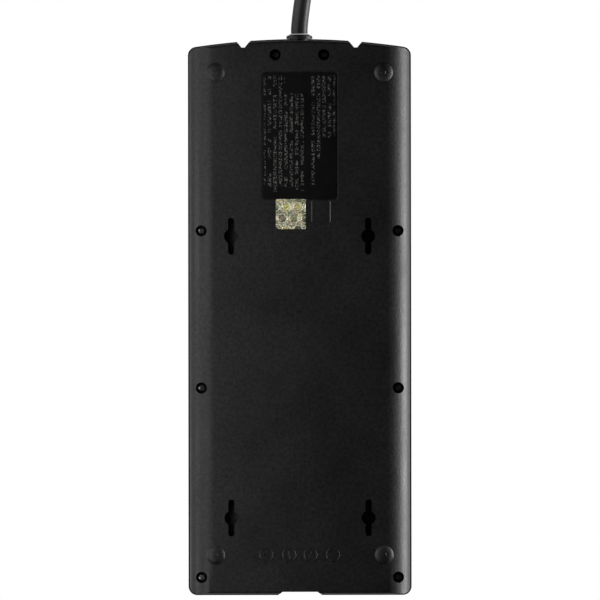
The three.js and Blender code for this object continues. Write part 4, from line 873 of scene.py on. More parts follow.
@dataclass(frozen=True)
class Laminate(Surface):
    """The circuit board's green laminate with pale copper runs under it."""

    colour: Colour = (0.03, 0.14, 0.06)
    track: Colour = (0.07, 0.26, 0.11)
    pitch: float = 3.2 * MM

    def paint(self, sheet: Sheet, shader: Node) -> None:
        """Paints the shader."""
        bend = sheet.noise(sheet.place(), 16 * MM, 0)
        across = sheet.axes(sheet.place())[0] / self.pitch + bend * 2.2
        tracks = across.fract() > 0.55
        base = sheet.mix(tracks, tint(self.colour), tint(self.track))
        sheet.dress(shader, base, sheet.spread(bend, 0.3, 0.7, 0.3, 0.42), sheet.bump(tracks, 0.03 * MM))


# The casing's two shells


def mirrored(x: float, *ys: float) -> list[Point]:
    """Gives the places on both sides of the middle, row by row."""
    return [(side, y) for y in ys for side in (-x, x)]


@dataclass(frozen=True)
class Taper:
    """A tapering cut: its width at the mouth and at the floor, and its depth."""

    mouth: float
    floor: float
    depth: float

    def outline(self, middle: float, face: float, grow: float, way: int = 1) -> list[Point]:
        """Gives the cut's outline.

        Args:
            middle: Where its middle is.
            face: Where the face is that it is cut into.
            grow: How much it is grown on all sides.
            way: Which way it opens, 1 or -1.

        Returns:
            Four points, from the floor to past the mouth.
        """
        slope = (self.mouth - self.floor) / 2 / self.depth
        spread, reach = self.mouth / 2 + grow * math.hypot(1, slope), self.depth + grow
        inner, outer = spread - slope * reach, spread + slope * PAST
        low, high = face - way * reach, face + way * PAST
        return [(middle - inner, low), (middle + inner, low), (middle + outer, high), (middle - outer, high)]


@dataclass(frozen=True)
class CasingSizes:
    """Sizes that both shells share."""

    width: float = 127 * MM
    length: float = 316.6 * MM
    back_z: float = 1.8 * MM
    seam_z: float = 19.0 * MM
    seam_gap: float = FIT
    front_z: float = 41.0 * MM
    wall: float = 2.5 * MM
    reveal: float = 0.85 * MM
    corner: float = 5 * MM
    least_corner: float = 1 * MM
    bow: float = 400 * MM
    groove_x: float = 32 * MM
    grooves: Taper = Taper(7.8 * MM, 1.8 * MM, 3.7 * MM)
    grip: Taper = Taper(25 * MM, 20 * MM, 2 * MM)
    end_screw_x: float = 13.8 * MM
    end_screw_inset: float = 9.1 * MM
    side_screw_inset: float = 7.5 * MM
    side_screw_ys: tuple[float, ...] = (49.1 * MM, -40.3 * MM, -148 * MM)
    boss_top_z: float = 12 * MM
    cord_z: float = 19.15 * MM
    cord_hole: float = 11.6 * MM
    relief_room: float = 15.4 * MM

    @property
    def end_y(self) -> float:
        """The cord end's middle."""
        return self.length / 2

    @property
    def under_z(self) -> float:
        """A height just under the front wall."""
        return self.front_z - self.wall - PAST

    @property
    def screw_places(self) -> list[Point]:
        """Where the eight case screws stand."""
        ends = mirrored(self.end_screw_x, self.end_y - self.end_screw_inset)
        return ends + mirrored(self.width / 2 - self.side_screw_inset, *self.side_screw_ys)

    def plan(self, inset: float) -> list[Point]:
        """Gives the casing's plan, moved in from its edge: square far end, bowed cord end, round corners."""
        radius = max(self.corner - inset, self.least_corner)
        inner, low = self.width / 2 - inset - radius, inset - self.end_y + radius
        bow, bow_y = self.bow - inset, self.end_y - self.bow
        corner_y = bow_y + math.sqrt((bow - radius) ** 2 - inner**2)
        sweep = math.atan2(corner_y - bow_y, inner)
        return [
            *arc(inner, low, radius, -QUARTER, 0),
            *arc(inner, corner_y, radius, 0, sweep),
            *arc(0, bow_y, bow, sweep, math.pi - sweep, 60)[1:-1],
            *arc(-inner, corner_y, radius, math.pi - sweep, math.pi),
            *arc(-inner, low, radius, math.pi, 3 * QUARTER),
        ]

    def groove(self, x: float, grow: float) -> Object:
        """Makes the cut of one groove along the front and down the cord end."""
        past, edge = self.end_y + PAST, self.end_y - x**2 / (2 * self.bow)
        along = prism("groove", self.grooves.outline(x, self.front_z, grow), -past, past, Lay.SECTION)
        return add(along, prism("groove end", self.grooves.outline(x, edge, grow), 0, self.front_z + PAST))

    def cut_edges(self, piece: Object, grow: float) -> Object:
        """Cuts both grooves and the far end's shallow recess out of a piece, one by one."""
        recess = prism("grip", self.grip.outline(0, -self.end_y, grow, -1), 0, self.front_z + PAST)
        for tool in (self.groove(-self.groove_x, grow), self.groove(self.groove_x, grow), recess):
            cut(piece, tool)
        return piece

    def cord_cut(self) -> Object:
        """Makes the cord's opening and the room for its relief inside the wall."""
        inner = self.end_y - self.wall
        hole = circle(0, self.cord_z, self.cord_hole)
        room = circle(0, self.cord_z, self.relief_room)
        through = prism("cord hole", hole, inner - self.wall, self.end_y + PAST, Lay.SECTION)
        return add(through, prism("relief room", room, inner - 2 * self.wall, inner, Lay.SECTION))


@dataclass
class Shell:
    """What both covers share: their rolled sides, and the way to hollow them."""

    casing: CasingSizes
    roll_width: float
    roll_height: float

    def section(self, inset: float) -> list[Point]:
        """Gives the section across the casing."""
        raise NotImplementedError

    def roll(self, half: float, flat: float, way: int, inset: float, steps: int) -> list[Point]:
        """Gives a section's rolled side, from the flat up or down to the full width."""
        run, rise = self.roll_width - inset / 2, way * (self.roll_height - inset / 2)
        return [(half - run * (1 - math.sin(t)), flat + rise * (1 - math.cos(t))) for t in quarter(steps)]

    def bar(self, name: str, inset: float) -> Object:
        """Makes the section as a bar that runs past both ends."""
        past = self.casing.end_y + PAST
        return prism(name, self.section(inset), -past, past, Lay.SECTION)

    def hollow(self, name: str, plan: Object, room: Object, width: float) -> Object:
        """Makes a shell, its outer edges eased before it is hollowed.

        Args:
            name: The shell's name.
            plan: The plan that holds its outside.
            room: The plan that holds its inside.
            width: How wide its edges are eased.

        Returns:
            The shell.
        """
        wall = self.casing.wall
        outside = self.casing.cut_edges(meet(self.bar(name, 0), plan), 0)
        inside = self.casing.cut_edges(meet(self.bar("inside", wall), room), wall)
        return cut(ease(outside, width), inside)

    def soften(self, cover: Object, level: float, reach: Point, width: float, segments: int) -> Object:
        """Bevels the sharp edges that lie on a level face, within a half width and a half length."""

        def on_it(*ends: Vector) -> bool:
            """Tells whether both ends lie there."""
            return all(abs(p.z - level) < NEAR and abs(p.x) < reach[0] and abs(p.y) < reach[1] for p in ends)

        return bevel_where(cover, on_it, width, segments, 60)


@dataclass
class BackCover(Shell):
    """The back shell with its rolled sides, feet, keyholes, screw wells and moulded marks."""

    roll_width: float = 14 * MM
    roll_height: float = 12 * MM
    edge_chamfer: float = 2.0 * MM
    edge_ease: float = 0.2 * MM
    flat_edge: float = 0.45 * MM
    tongue: float = 1.2 * MM
    tongue_height: float = 2 * MM
    tongue_room: float = 7.6 * MM
    foot_x: float = 47.9 * MM
    foot_ys: Point = (139.2 * MM, -135.3 * MM)
    foot_diameter: float = 10.7 * MM
    foot_swell: float = 3.2
    nub_diameter: float = 2.6 * MM
    nub_height: float = 0.2 * MM
    nub_taper: float = 0.85
    keyhole_x: float = 39 * MM
    keyhole_ys: Point = (46 * MM, -114.2 * MM)
    keyhole_head: float = 8 * MM
    keyhole_slot: float = 3.5 * MM
    keyhole_length: float = 21 * MM
    well_depth: float = 5.5 * MM
    well_margin: float = 1.2 * MM
    well_wall: float = 1.5 * MM
    counterbore: float = 6.4 * MM
    boss_diameter: float = 9.4 * MM
    boss_floor: float = 2 * MM
    screw_hole: float = 3.6 * MM
    label_size: Point = (42.9 * MM, 72.2 * MM)
    label_y: float = 103.2 * MM
    label_corner: float = 1.9 * MM
    label_recess: float = 0.5 * MM
    mark_height: float = 0.3 * MM
    mark_line: float = 0.6 * MM
    mark_slope: float = 0.24 * MM
    panel_mark: Point = (-12.1 * MM, 60.1 * MM)
    panel_size: Point = (11.1 * MM, 13.4 * MM)
    panel_corners: Point = (1.6 * MM, 1.2 * MM)
    mould_mark_xs: tuple[float, ...] = (19.2 * MM, 6.2 * MM, -6 * MM, -18.8 * MM)
    mould_mark_y: float = -135.3 * MM
    mould_mark_diameter: float = 8 * MM
    mould_bar: float = 2.2 * MM
    mould_turns: Point = (0.35, 0.5)

    def section(self, inset: float) -> list[Point]:
        """Gives the section across the casing, rolled at both sides."""
        half = self.casing.width / 2 - self.casing.reveal - inset
        top = self.casing.seam_z + (PAST if inset else 0)
        roll = self.roll(half, self.casing.back_z + inset, 1, inset, 22)
        return [*roll, (half, top), (-half, top), *[(-x, z) for x, z in reversed(roll)]]

    def shell(self) -> Object:
        """Makes the hollow shell."""
        casing = self.casing
        plan, room = [
            prism("plan", casing.plan(casing.reveal + inset), casing.back_z, casing.front_z)
            for inset in (0, casing.wall)
        ]
        bevel_where(plan, below(casing.back_z + NEAR), self.edge_chamfer, 3)
        return self.hollow("back_shell", plan, room, self.edge_ease)

    def ring(self) -> Object:
        """Makes the tongue that lines the shells up."""
        casing = self.casing
        inset = casing.wall + FIT
        low, high = casing.seam_z - self.tongue_height, casing.seam_z + self.tongue_height
        ring = tunnel("tongue", casing.plan(inset), casing.plan(inset + self.tongue), low, high)
        casing.cut_edges(ring, inset)
        return cut(ring, *posts("room", casing.screw_places, self.tongue_room, low - PAST, high + PAST))

    def foot(self, x: float, y: float) -> Object:
        """Makes one moulded foot: a low dome, steeper towards its rim, with a small nub."""
        back = self.casing.back_z
        rim, rise, nub = self.foot_diameter / 2, back - self.nub_height, self.nub_diameter / 2
        reaches = [rim + (nub - rim) * step / 14 for step in range(15)]
        dome = [(reach, back - rise * (1 - (reach / rim) ** self.foot_swell)) for reach in reaches]
        profile = [(0, back + PAST), (rim, back + PAST), *dome, (nub * self.nub_taper, 0), (0, 0)]
        return move(turned("foot", profile), x, y)

    def well(self, x: float, y: float, margin: float, drop: float = 0, rise: float = 0) -> Object:
        """Makes a box about a keyhole behind the wall, with a margin and more below and above."""
        inner = self.casing.back_z + self.casing.wall
        reach = (self.keyhole_head / 2 + margin, self.keyhole_length / 2 + margin)
        return slab("well", x, y, reach, inner - drop, inner + self.well_depth + rise)

    def keyhole_cut(self, x: float, y: float) -> Object:
        """Makes the cut of a keyhole: a round head, a slot through it and the well behind."""
        low, high = self.casing.back_z - PAST, self.casing.back_z + self.casing.wall + PAST / 2
        slot = rounded(self.keyhole_slot, self.keyhole_length, self.keyhole_slot / 2 - FIT / 30, x, y)
        head = post("head", x, y, self.keyhole_head, low, high)
        return add(head, prism("slot", slot, low, high), self.well(x, y, self.well_margin))

    def boss(self, x: float, y: float) -> Object:
        """Makes a screw boss, which ends within the rolled side's wall."""
        boss = post("boss", x, y, self.boss_diameter, self.casing.back_z + PAST, self.casing.boss_top_z)
        return meet(boss, self.bar("rolled", self.casing.wall / 2))

    def marks(self) -> list[Object]:
        """Makes the low moulded ridges: one rounded outline and four rings with a bar."""
        low, high = self.casing.back_z - self.mark_height, self.casing.back_z + PAST / 2
        (width, length), (outer, inner), line = self.panel_size, self.panel_corners, self.mark_line
        outline = rounded(width, length, outer, *self.panel_mark)
        room = rounded(width - 2 * line, length - 2 * line, inner, *self.panel_mark)
        ridges = [tunnel("frame mark", outline, room, low, high)]
        y, across, (first, between) = self.mould_mark_y, self.mould_mark_diameter, self.mould_turns
        for count, x in enumerate(self.mould_mark_xs):
            ring = post("ring mark", x, y, across, low, high)
            cut(ring, post("ring inside", x, y, across - 2 * line, low - PAST, high + PAST))
            bar = slab("bar mark", 0, 0, (self.mould_bar, line / 2), low, high)
            turn(bar, z=QUARTER * (first + between * count))
            ridges += [ring, move(bar, x, y)]
        return [bevel_where(ridge, below(low + NEAR), self.mark_slope, 1, 30) for ridge in ridges]

    def build(self, finishes: Finishes) -> None:
        """Makes and dresses the back cover."""
        casing, places = self.casing, self.casing.screw_places
        keyholes = mirrored(self.keyhole_x, *self.keyhole_ys)
        low, seat = casing.back_z - PAST, casing.boss_top_z - self.boss_floor
        margin = self.well_margin + self.well_wall
        cover = add(self.shell(), self.ring())
        add(cover, *[self.boss(x, y) for x, y in places])
        add(cover, *[self.well(x, y, margin, PAST / 2, self.well_wall) for x, y in keyholes])
        add(cover, *[self.foot(x, y) for x, y in mirrored(self.foot_x, *self.foot_ys)])
        label = rounded(*self.label_size, self.label_corner, 0, self.label_y)
        cut(cover, prism("label recess", label, low, casing.back_z + self.label_recess))
        reach = (casing.width / 2 - 1.1 * self.roll_width, casing.end_y - 3 * self.edge_chamfer)
        self.soften(cover, casing.back_z, reach, self.flat_edge, 1)
        cut(cover, *[self.keyhole_cut(x, y) for x, y in keyholes])
        cut(cover, *posts("bore", places, self.counterbore, low, seat))
        cut(cover, *posts("hole", places, self.screw_hole, seat - PAST, casing.boss_top_z + PAST))
        add(cover, *self.marks())
        cut(cover, casing.cord_cut())
        hand_over(cover, "casing", finishes, Finish.CASING, "back_cover")


@dataclass
class FrontCover(Shell):
    """The front shell with ten outlets, its panel openings and two grooves."""

    roll_width: float = 9 * MM
    roll_height: float = 6 * MM
    edge_round: float = 1.4 * MM
    edge_ease: float = 0.25 * MM
    column_x: float = 15 * MM
    first_y: float = 64 * MM
    pitch: float = 46 * MM
    rows: int = 5
    face_size: Point = (23 * MM, 31 * MM)
    face_corner: float = 6 * MM
    face_depth: float = 0.8 * MM
    blade_spacing: float = 12.7 * MM
    ground_offset: float = 11.9 * MM
    line_slot: float = 6.6 * MM
    neutral_slot: float = 8.2 * MM
    slot_width: float = 2.2 * MM
    ground_hole: float = 5.2 * MM
    lead_in: float = 0.5 * MM
    boss_diameter: float = 7 * MM
    pilot: float = 3.6 * MM
    pilot_depth: float = 12 * MM

    @property
    def face_z(self) -> float:
        """The height of the outlets' sunk faces."""
        return self.casing.front_z - self.face_depth

    def section(self, inset: float) -> list[Point]:
        """Gives the section across the casing, rolled at both sides."""
        half = self.casing.width / 2 - inset
        bottom = self.casing.seam_z + self.casing.seam_gap - (PAST if inset else 0)
        roll = self.roll(half, self.casing.front_z - inset, -1, inset, 16)
        return [(-half, bottom), (half, bottom), *reversed(roll), *[(-x, z) for x, z in roll]]

    def shell(self) -> Object:
        """Makes the hollow shell."""
        casing = self.casing
        plan = prism("plan", casing.plan(0), casing.seam_z, casing.front_z)
        bevel_where(plan, above(casing.front_z - NEAR), self.edge_round, 5)
        room = prism("plan", casing.plan(casing.wall), 0, casing.front_z - casing.wall)
        return self.hollow("front_shell", plan, room, self.edge_ease)

    def slot_cut(self, x: float, y: float, length: float) -> Object:
        """Makes a blade slot's cut with a flared mouth."""
        half, flared = [(self.slot_width / 2 + more, length / 2 + more) for more in (0, self.lead_in)]
        slot = slab("slot", x, y, half, self.casing.under_z, self.face_z + PAST / 10)
        bottom = self.face_z - self.lead_in
        flare = slab("flare", x, y, flared, bottom, self.face_z + PAST)
        bevel_where(flare, below(bottom + NEAR), self.lead_in * 0.98, 1)
        return add(slot, flare)

    def outlet_cuts(self, x: float, y: float) -> list[Object]:
        """Makes the cuts of one outlet: its sunk face, two slots and ground hole."""
        outline = rounded(*self.face_size, self.face_corner, x, y - self.ground_offset / 2)
        face, low, radius = self.face_z, self.casing.under_z, self.ground_hole / 2
        flared = radius + self.lead_in
        hole = [(0, low), (radius, low), (radius, face - self.lead_in)]
        mouth = [(flared, face + FIT / 100), (flared, face + PAST / 4), (0, face + PAST / 4)]
        return [
            prism("outlet face", outline, face, self.casing.front_z + PAST),
            self.slot_cut(x - self.blade_spacing / 2, y, self.line_slot),
            self.slot_cut(x + self.blade_spacing / 2, y, self.neutral_slot),
            move(turned("ground hole", hole + mouth), x, y - self.ground_offset),
        ]

    def build(self, finishes: Finishes, panel: "ControlPanel") -> None:
        """Makes and dresses the front cover."""
        casing, places = self.casing, self.casing.screw_places
        top, inner = casing.boss_top_z, casing.front_z - casing.wall
        cover = add(self.shell(), *posts("boss", places, self.boss_diameter, top + FIT, inner + PAST / 2))
        columns, rows = (-self.column_x, self.column_x), range(self.rows)
        outlets = [self.outlet_cuts(x, self.first_y - row * self.pitch) for x in columns for row in rows]
        for kind in zip(*outlets):
            cut(cover, *kind)
        cut(cover, *panel.openings())
        cut(cover, *posts("pilot", places, self.pilot, top - PAST, top + self.pilot_depth))
        cut(cover, casing.cord_cut())
        reach = (casing.groove_x - casing.grooves.mouth, casing.end_y - self.roll_width)
        self.soften(cover, casing.front_z, reach, self.edge_ease, 2)
        hand_over(cover, "casing", finishes, Finish.CASING, "front_cover")


@dataclass
class ControlPanel:
    """The rocker switch, the reset button in its bush and the two indicator lights."""

    casing: CasingSizes
    switch: Point = (-14 * MM, 118 * MM)
    switch_size: Point = (14 * MM, 19 * MM)
    switch_depth: float = 18 * MM
    bezel_lip: float = 1.8 * MM
    bezel_height: float = 1.2 * MM
    bezel_round: float = 0.6 * MM
    bezel_ease: float = 0.2 * MM
    well: Point = (5.6 * MM, 8.8 * MM)
    well_depth: float = 8 * MM
    rocker_half: float = 5.2 * MM
    rocker_radius: float = 8.4 * MM
    rocker_rise: float = 3.2 * MM
    rocker_skirt: float = 1.5 * MM
    rocker_dish: float = 1.2 * MM
    rocker_bowl: float = 1.7
    rocker_keel: float = 4 * MM
    rocker_ease: float = 0.5 * MM
    rocker_tilt: float = 12
    pivot_depth: float = 1.5 * MM
    trunnion: float = 2.2 * MM
    trunnion_reach: float = 6 * MM
    breaker: Point = (14 * MM, 128 * MM)
    bush: float = 9 * MM
    button: float = 6.4 * MM
    button_low: float = 33.2 * MM
    button_top: float = 44.2 * MM
    button_round: float = 0.8 * MM
    button_dip: float = 0.3 * MM
    button_bowl: float = 0.45
    flange: float = 9 * MM
    flange_height: float = 1 * MM
    press: float = 2 * MM
    spring_low: float = 25.3 * MM
    spring_coil: float = 4.6 * MM
    spring_wire: float = 0.7 * MM
    spring_curls: int = 5
    light_x: float = 14 * MM
    light_ys: Point = (108 * MM, 96 * MM)
    light: float = 5 * MM
    light_rise: float = 0.8 * MM
    light_low: float = 20.1 * MM
    light_collar: float = 7 * MM
    collar_height: float = 1 * MM

    @property
    def bezel_top(self) -> float:
        """The height of the switch's bezel."""
        return self.casing.front_z + FIT + self.bezel_height

    @property
    def pivot_z(self) -> float:
        """The height that the rocker turns about."""
        return self.bezel_top - self.pivot_depth

    def openings(self) -> list[Object]:
        """Makes the cuts for the switch, the bush and the lights."""
        low, high = self.casing.under_z, self.casing.front_z + PAST
        width, length = self.switch_size
        lights = [(self.light_x, y) for y in self.light_ys]
        return [
            slab("switch hole", *self.switch, (width / 2 + FIT, length / 2 + FIT), low, high),
            post("bush hole", *self.breaker, self.bush + 2 * FIT, low, high),
            *posts("light hole", lights, self.light + 2 * FIT, low, high),
        ]

    def make_housing(self) -> Object:
        """Makes the switch housing: a rounded bezel on a deep box with the rocker's well."""
        (width, length), lip, top = self.switch_size, self.bezel_lip, self.bezel_top
        outline = rounded(width + 2 * lip, length + 2 * lip, lip)
        bezel = prism("switch_bezel", outline, self.casing.front_z + FIT, top)
        bevel_where(bezel, above(top - NEAR), self.bezel_round, 4)
        low, reach = self.casing.front_z - self.switch_depth, self.trunnion_reach + FIT
        add(bezel, slab("box", 0, 0, (width / 2, length / 2), low, top - PAST / 2))
        cut(bezel, slab("well", 0, 0, self.well, top - self.well_depth, top + PAST))
        cut(bezel, prism("socket", circle(0, self.pivot_z, self.trunnion + 2 * FIT), -reach, reach, Lay.SIDE))
        return move(ease(bezel, self.bezel_ease), *self.switch)

    def make_rocker(self) -> Object:
        """Makes the rocker with its dished top and trunnions, tilted to the stop that it rests on."""
        radius, dip, reach = self.rocker_radius, self.rocker_dish, self.trunnion_reach
        low, top = -math.asin(self.rocker_skirt / radius), math.asin(self.rocker_rise / radius)
        right = arc(0, 0, radius, low, top, 8)
        edge, rim = right[-1]
        parts = (0.8, 0.6, 0.4, 0.2)
        right += [(edge * part, dip + (rim - dip) * part**self.rocker_bowl) for part in parts]
        outline = [(0, -self.rocker_keel), *right, (0, dip), *[(-y, z) for y, z in reversed(right)]]
        rocker = prism("rocker_cap", outline, -self.rocker_half, self.rocker_half, Lay.SIDE)
        ease(rocker, self.rocker_ease, 3)
        add(rocker, prism("trunnion", circle(0, 0, self.trunnion), -reach, reach, Lay.SIDE))
        turn(rocker, x=math.radians(self.rocker_tilt))
        return move(rocker, *self.switch, self.pivot_z)

    def make_button(self) -> Object:
        """Makes the reset button with its flange and a hollowed top."""
        radius, flange, low, top = self.button / 2, self.flange / 2, self.button_low, self.button_top
        shelf, edge, dip = low + self.flange_height, self.button_round, self.button_dip
        turns = (0, 0.5, 1.0, QUARTER)
        rim = [(radius - edge * (1 - math.cos(t)), top - edge * (1 - math.sin(t))) for t in turns]
        foot = [(0, low), (flange, low), (flange, shelf), (radius, shelf)]
        profile = [*foot, *rim, (radius * self.button_bowl, top - dip / 2), (0, top - dip)]
        return move(turned("reset_cap", profile), *self.breaker)

    def make_spring(self) -> Object:
        """Makes the wire spring that the reset button presses down."""
        low = self.spring_low + self.spring_wire / 2
        high = self.button_low - FIT - self.spring_wire / 2
        reach, steps = self.spring_coil / 2, 20 * self.spring_curls
        route = []
        for step in range(steps + 1):
            t = self.spring_curls * 2 * math.pi * step / steps
            route.append(Vector((reach * math.cos(t), reach * math.sin(t), low + (high - low) * step / steps)))
        spring = tube("button_spring", route, self.spring_wire, 2)
        pick(spring)
        bpy.ops.object.convert(target="MESH")
        with editing(spring):
            weld()
        return move(spring, *self.breaker)

    def squash_spring(self, spring: Object) -> None:
        """Gives the spring a mesh of its own."""
        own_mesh(spring)

    def make_light(self, name: str, y: float) -> Object:
        """Makes one light pipe: a domed lens over its collar."""
        radius, wide, front = self.light / 2, self.light_collar / 2, self.casing.front_z
        collar = front - self.casing.wall - FIT
        shelf = collar - self.collar_height
        foot = [(0, self.light_low), (radius, self.light_low), (radius, shelf), (wide, shelf)]
        dome = [(radius * math.cos(t), front + self.light_rise * math.sin(t)) for t in quarter(6)[:-1]]
        profile = [*foot, (wide, collar), (radius, collar), *dome, (0, front + self.light_rise)]
        return move(turned(name, profile), self.light_x, y)

    def build(self, finishes: Finishes) -> None:
        """Makes and dresses the panel's pieces."""
        hand_over(self.make_housing(), "casing", finishes, Finish.ROCKER, "rocker_switch_housing")
        hand_over(self.make_rocker(), "rocker", finishes, Finish.ROCKER, "rocker_button")
        hand_over(self.make_button(), "reset", finishes, Finish.ROCKER, "reset_button")
        self.squash_spring(hand_over(self.make_spring(), "casing", finishes, Finish.STEEL, "reset_spring"))
        for word, y in zip(("protected", "grounded"), self.light_ys):
            light = self.make_light(f"{word}_lens", y)
            hand_over(light, "casing", finishes, Finish.LENS, f"{word}_light_pipe")


@dataclass
class CaseScrews:
    """The eight case screws: pan heads with a cross recess, deep in their wells."""

    casing: CasingSizes
    head: float = 5.6 * MM
    head_height: float = 2.2 * MM
    head_rim: float = 0.5 * MM
    shank: float = 3 * MM
    reach: float = 10 * MM
    seat_z: float = 9.7 * MM
    cross_length: float = 3.2 * MM
    cross_width: float = 0.9 * MM
    cross_depth: float = 1.1 * MM
    turn_between: float = 37

    def make_screw(self) -> Object:
        """Makes one screw on the upright axis, head down."""
        seat, radius, shank = self.seat_z, self.head / 2, self.shank / 2
        face, rim = seat - self.head_height, seat - self.head_rim
        tip = self.casing.boss_top_z + self.reach
        crown = [(radius * math.sin(t), rim - (rim - face) * math.cos(t)) for t in quarter(7, 1)]
        shaft = [(radius, seat), (shank, seat), (shank, tip - shank), (0, tip)]
        screw = turned("case screw", [(0, face), *crown, *shaft], 32)
        arm, half = self.cross_length / 2, self.cross_width / 2
        reaches = ((arm, half), (half, arm))
        return cut(screw, add(*[slab("cross", 0, 0, r, face - PAST, face + self.cross_depth) for r in reaches]))

    def build(self, finishes: Finishes) -> None:
        """Makes and dresses the screws, each with its cross at its own angle."""
        first = self.make_screw()
        for count, (x, y) in enumerate(self.casing.screw_places, 1):
            screw = turn(copied(first, f"screw_{count}"), z=math.radians(self.turn_between * count))
            hand_over(move(screw, x, y), "casing", finishes, Finish.SCREW, f"case_screw_{count}")
        bpy.data.objects.remove(first)


@dataclass
class Stickers:
    """The rating label in its recess and the small foil seal."""

    casing: CasingSizes
    label: Point = (42.3 * MM, 71.6 * MM)
    label_y: float = 103.2 * MM
    corner: float = 1.8 * MM
    edge: float = 0.06 * MM
    thickness: float = 0.2 * MM
    seal: float = 17.1 * MM
    seal_place: Point = (5 * MM, 58.6 * MM)
    seal_corner: float = 0.6 * MM

    def build(self, finishes: Finishes) -> None:
        """Makes and dresses both stickers."""
        back, top = self.casing.back_z, self.casing.back_z - NEAR
        outline = rounded(*self.label, self.corner, 0, self.label_y)
        label = prism("label_film", outline, back, back + self.thickness)
        bevel_where(label, below(back + NEAR), self.edge, 2)
        hand_over(label, "casing", finishes, Finish.LABEL, "rating_label")
        square = rounded(self.seal, self.seal, self.seal_corner, *self.seal_place, 4)
        seal = prism("seal_foil", square, top - self.thickness, top)
        hand_over(seal, "casing", finishes, Finish.FOIL, "foil_seal")


# The cord and what is on it


def catmull(points: Sequence[Vector], spans: int) -> list[Vector]:
    """Gives points along a centripetal curve through the given points.

    Args:
        points: The points to pass.
        spans: Steps from each point to the next.

    Returns:
        The points along the curve, both ends included.
    """
    ends = [points[0] * 2 - points[1], *points, points[-1] * 2 - points[-2]]
    route: list[Vector] = []
    for start in range(len(points) - 1):
        a, b, c, d = ends[start : start + 4]
        t1 = (b - a).length ** 0.5
        t2 = t1 + (c - b).length ** 0.5
        t3 = t2 + (d - c).length ** 0.5
        for step in range(spans):
            t = t1 + (t2 - t1) * step / spans
            ab = a.lerp(b, t / t1)
            bc = b.lerp(c, (t - t1) / (t2 - t1))
            cd = c.lerp(d, (t - t2) / (t3 - t2))
            abc = ab.lerp(bc, t / t2)
            bcd = bc.lerp(cd, (t - t1) / (t3 - t1))
            route.append(abc.lerp(bcd, (t - t1) / (t2 - t1)))
    return [*route, points[-1].copy()]


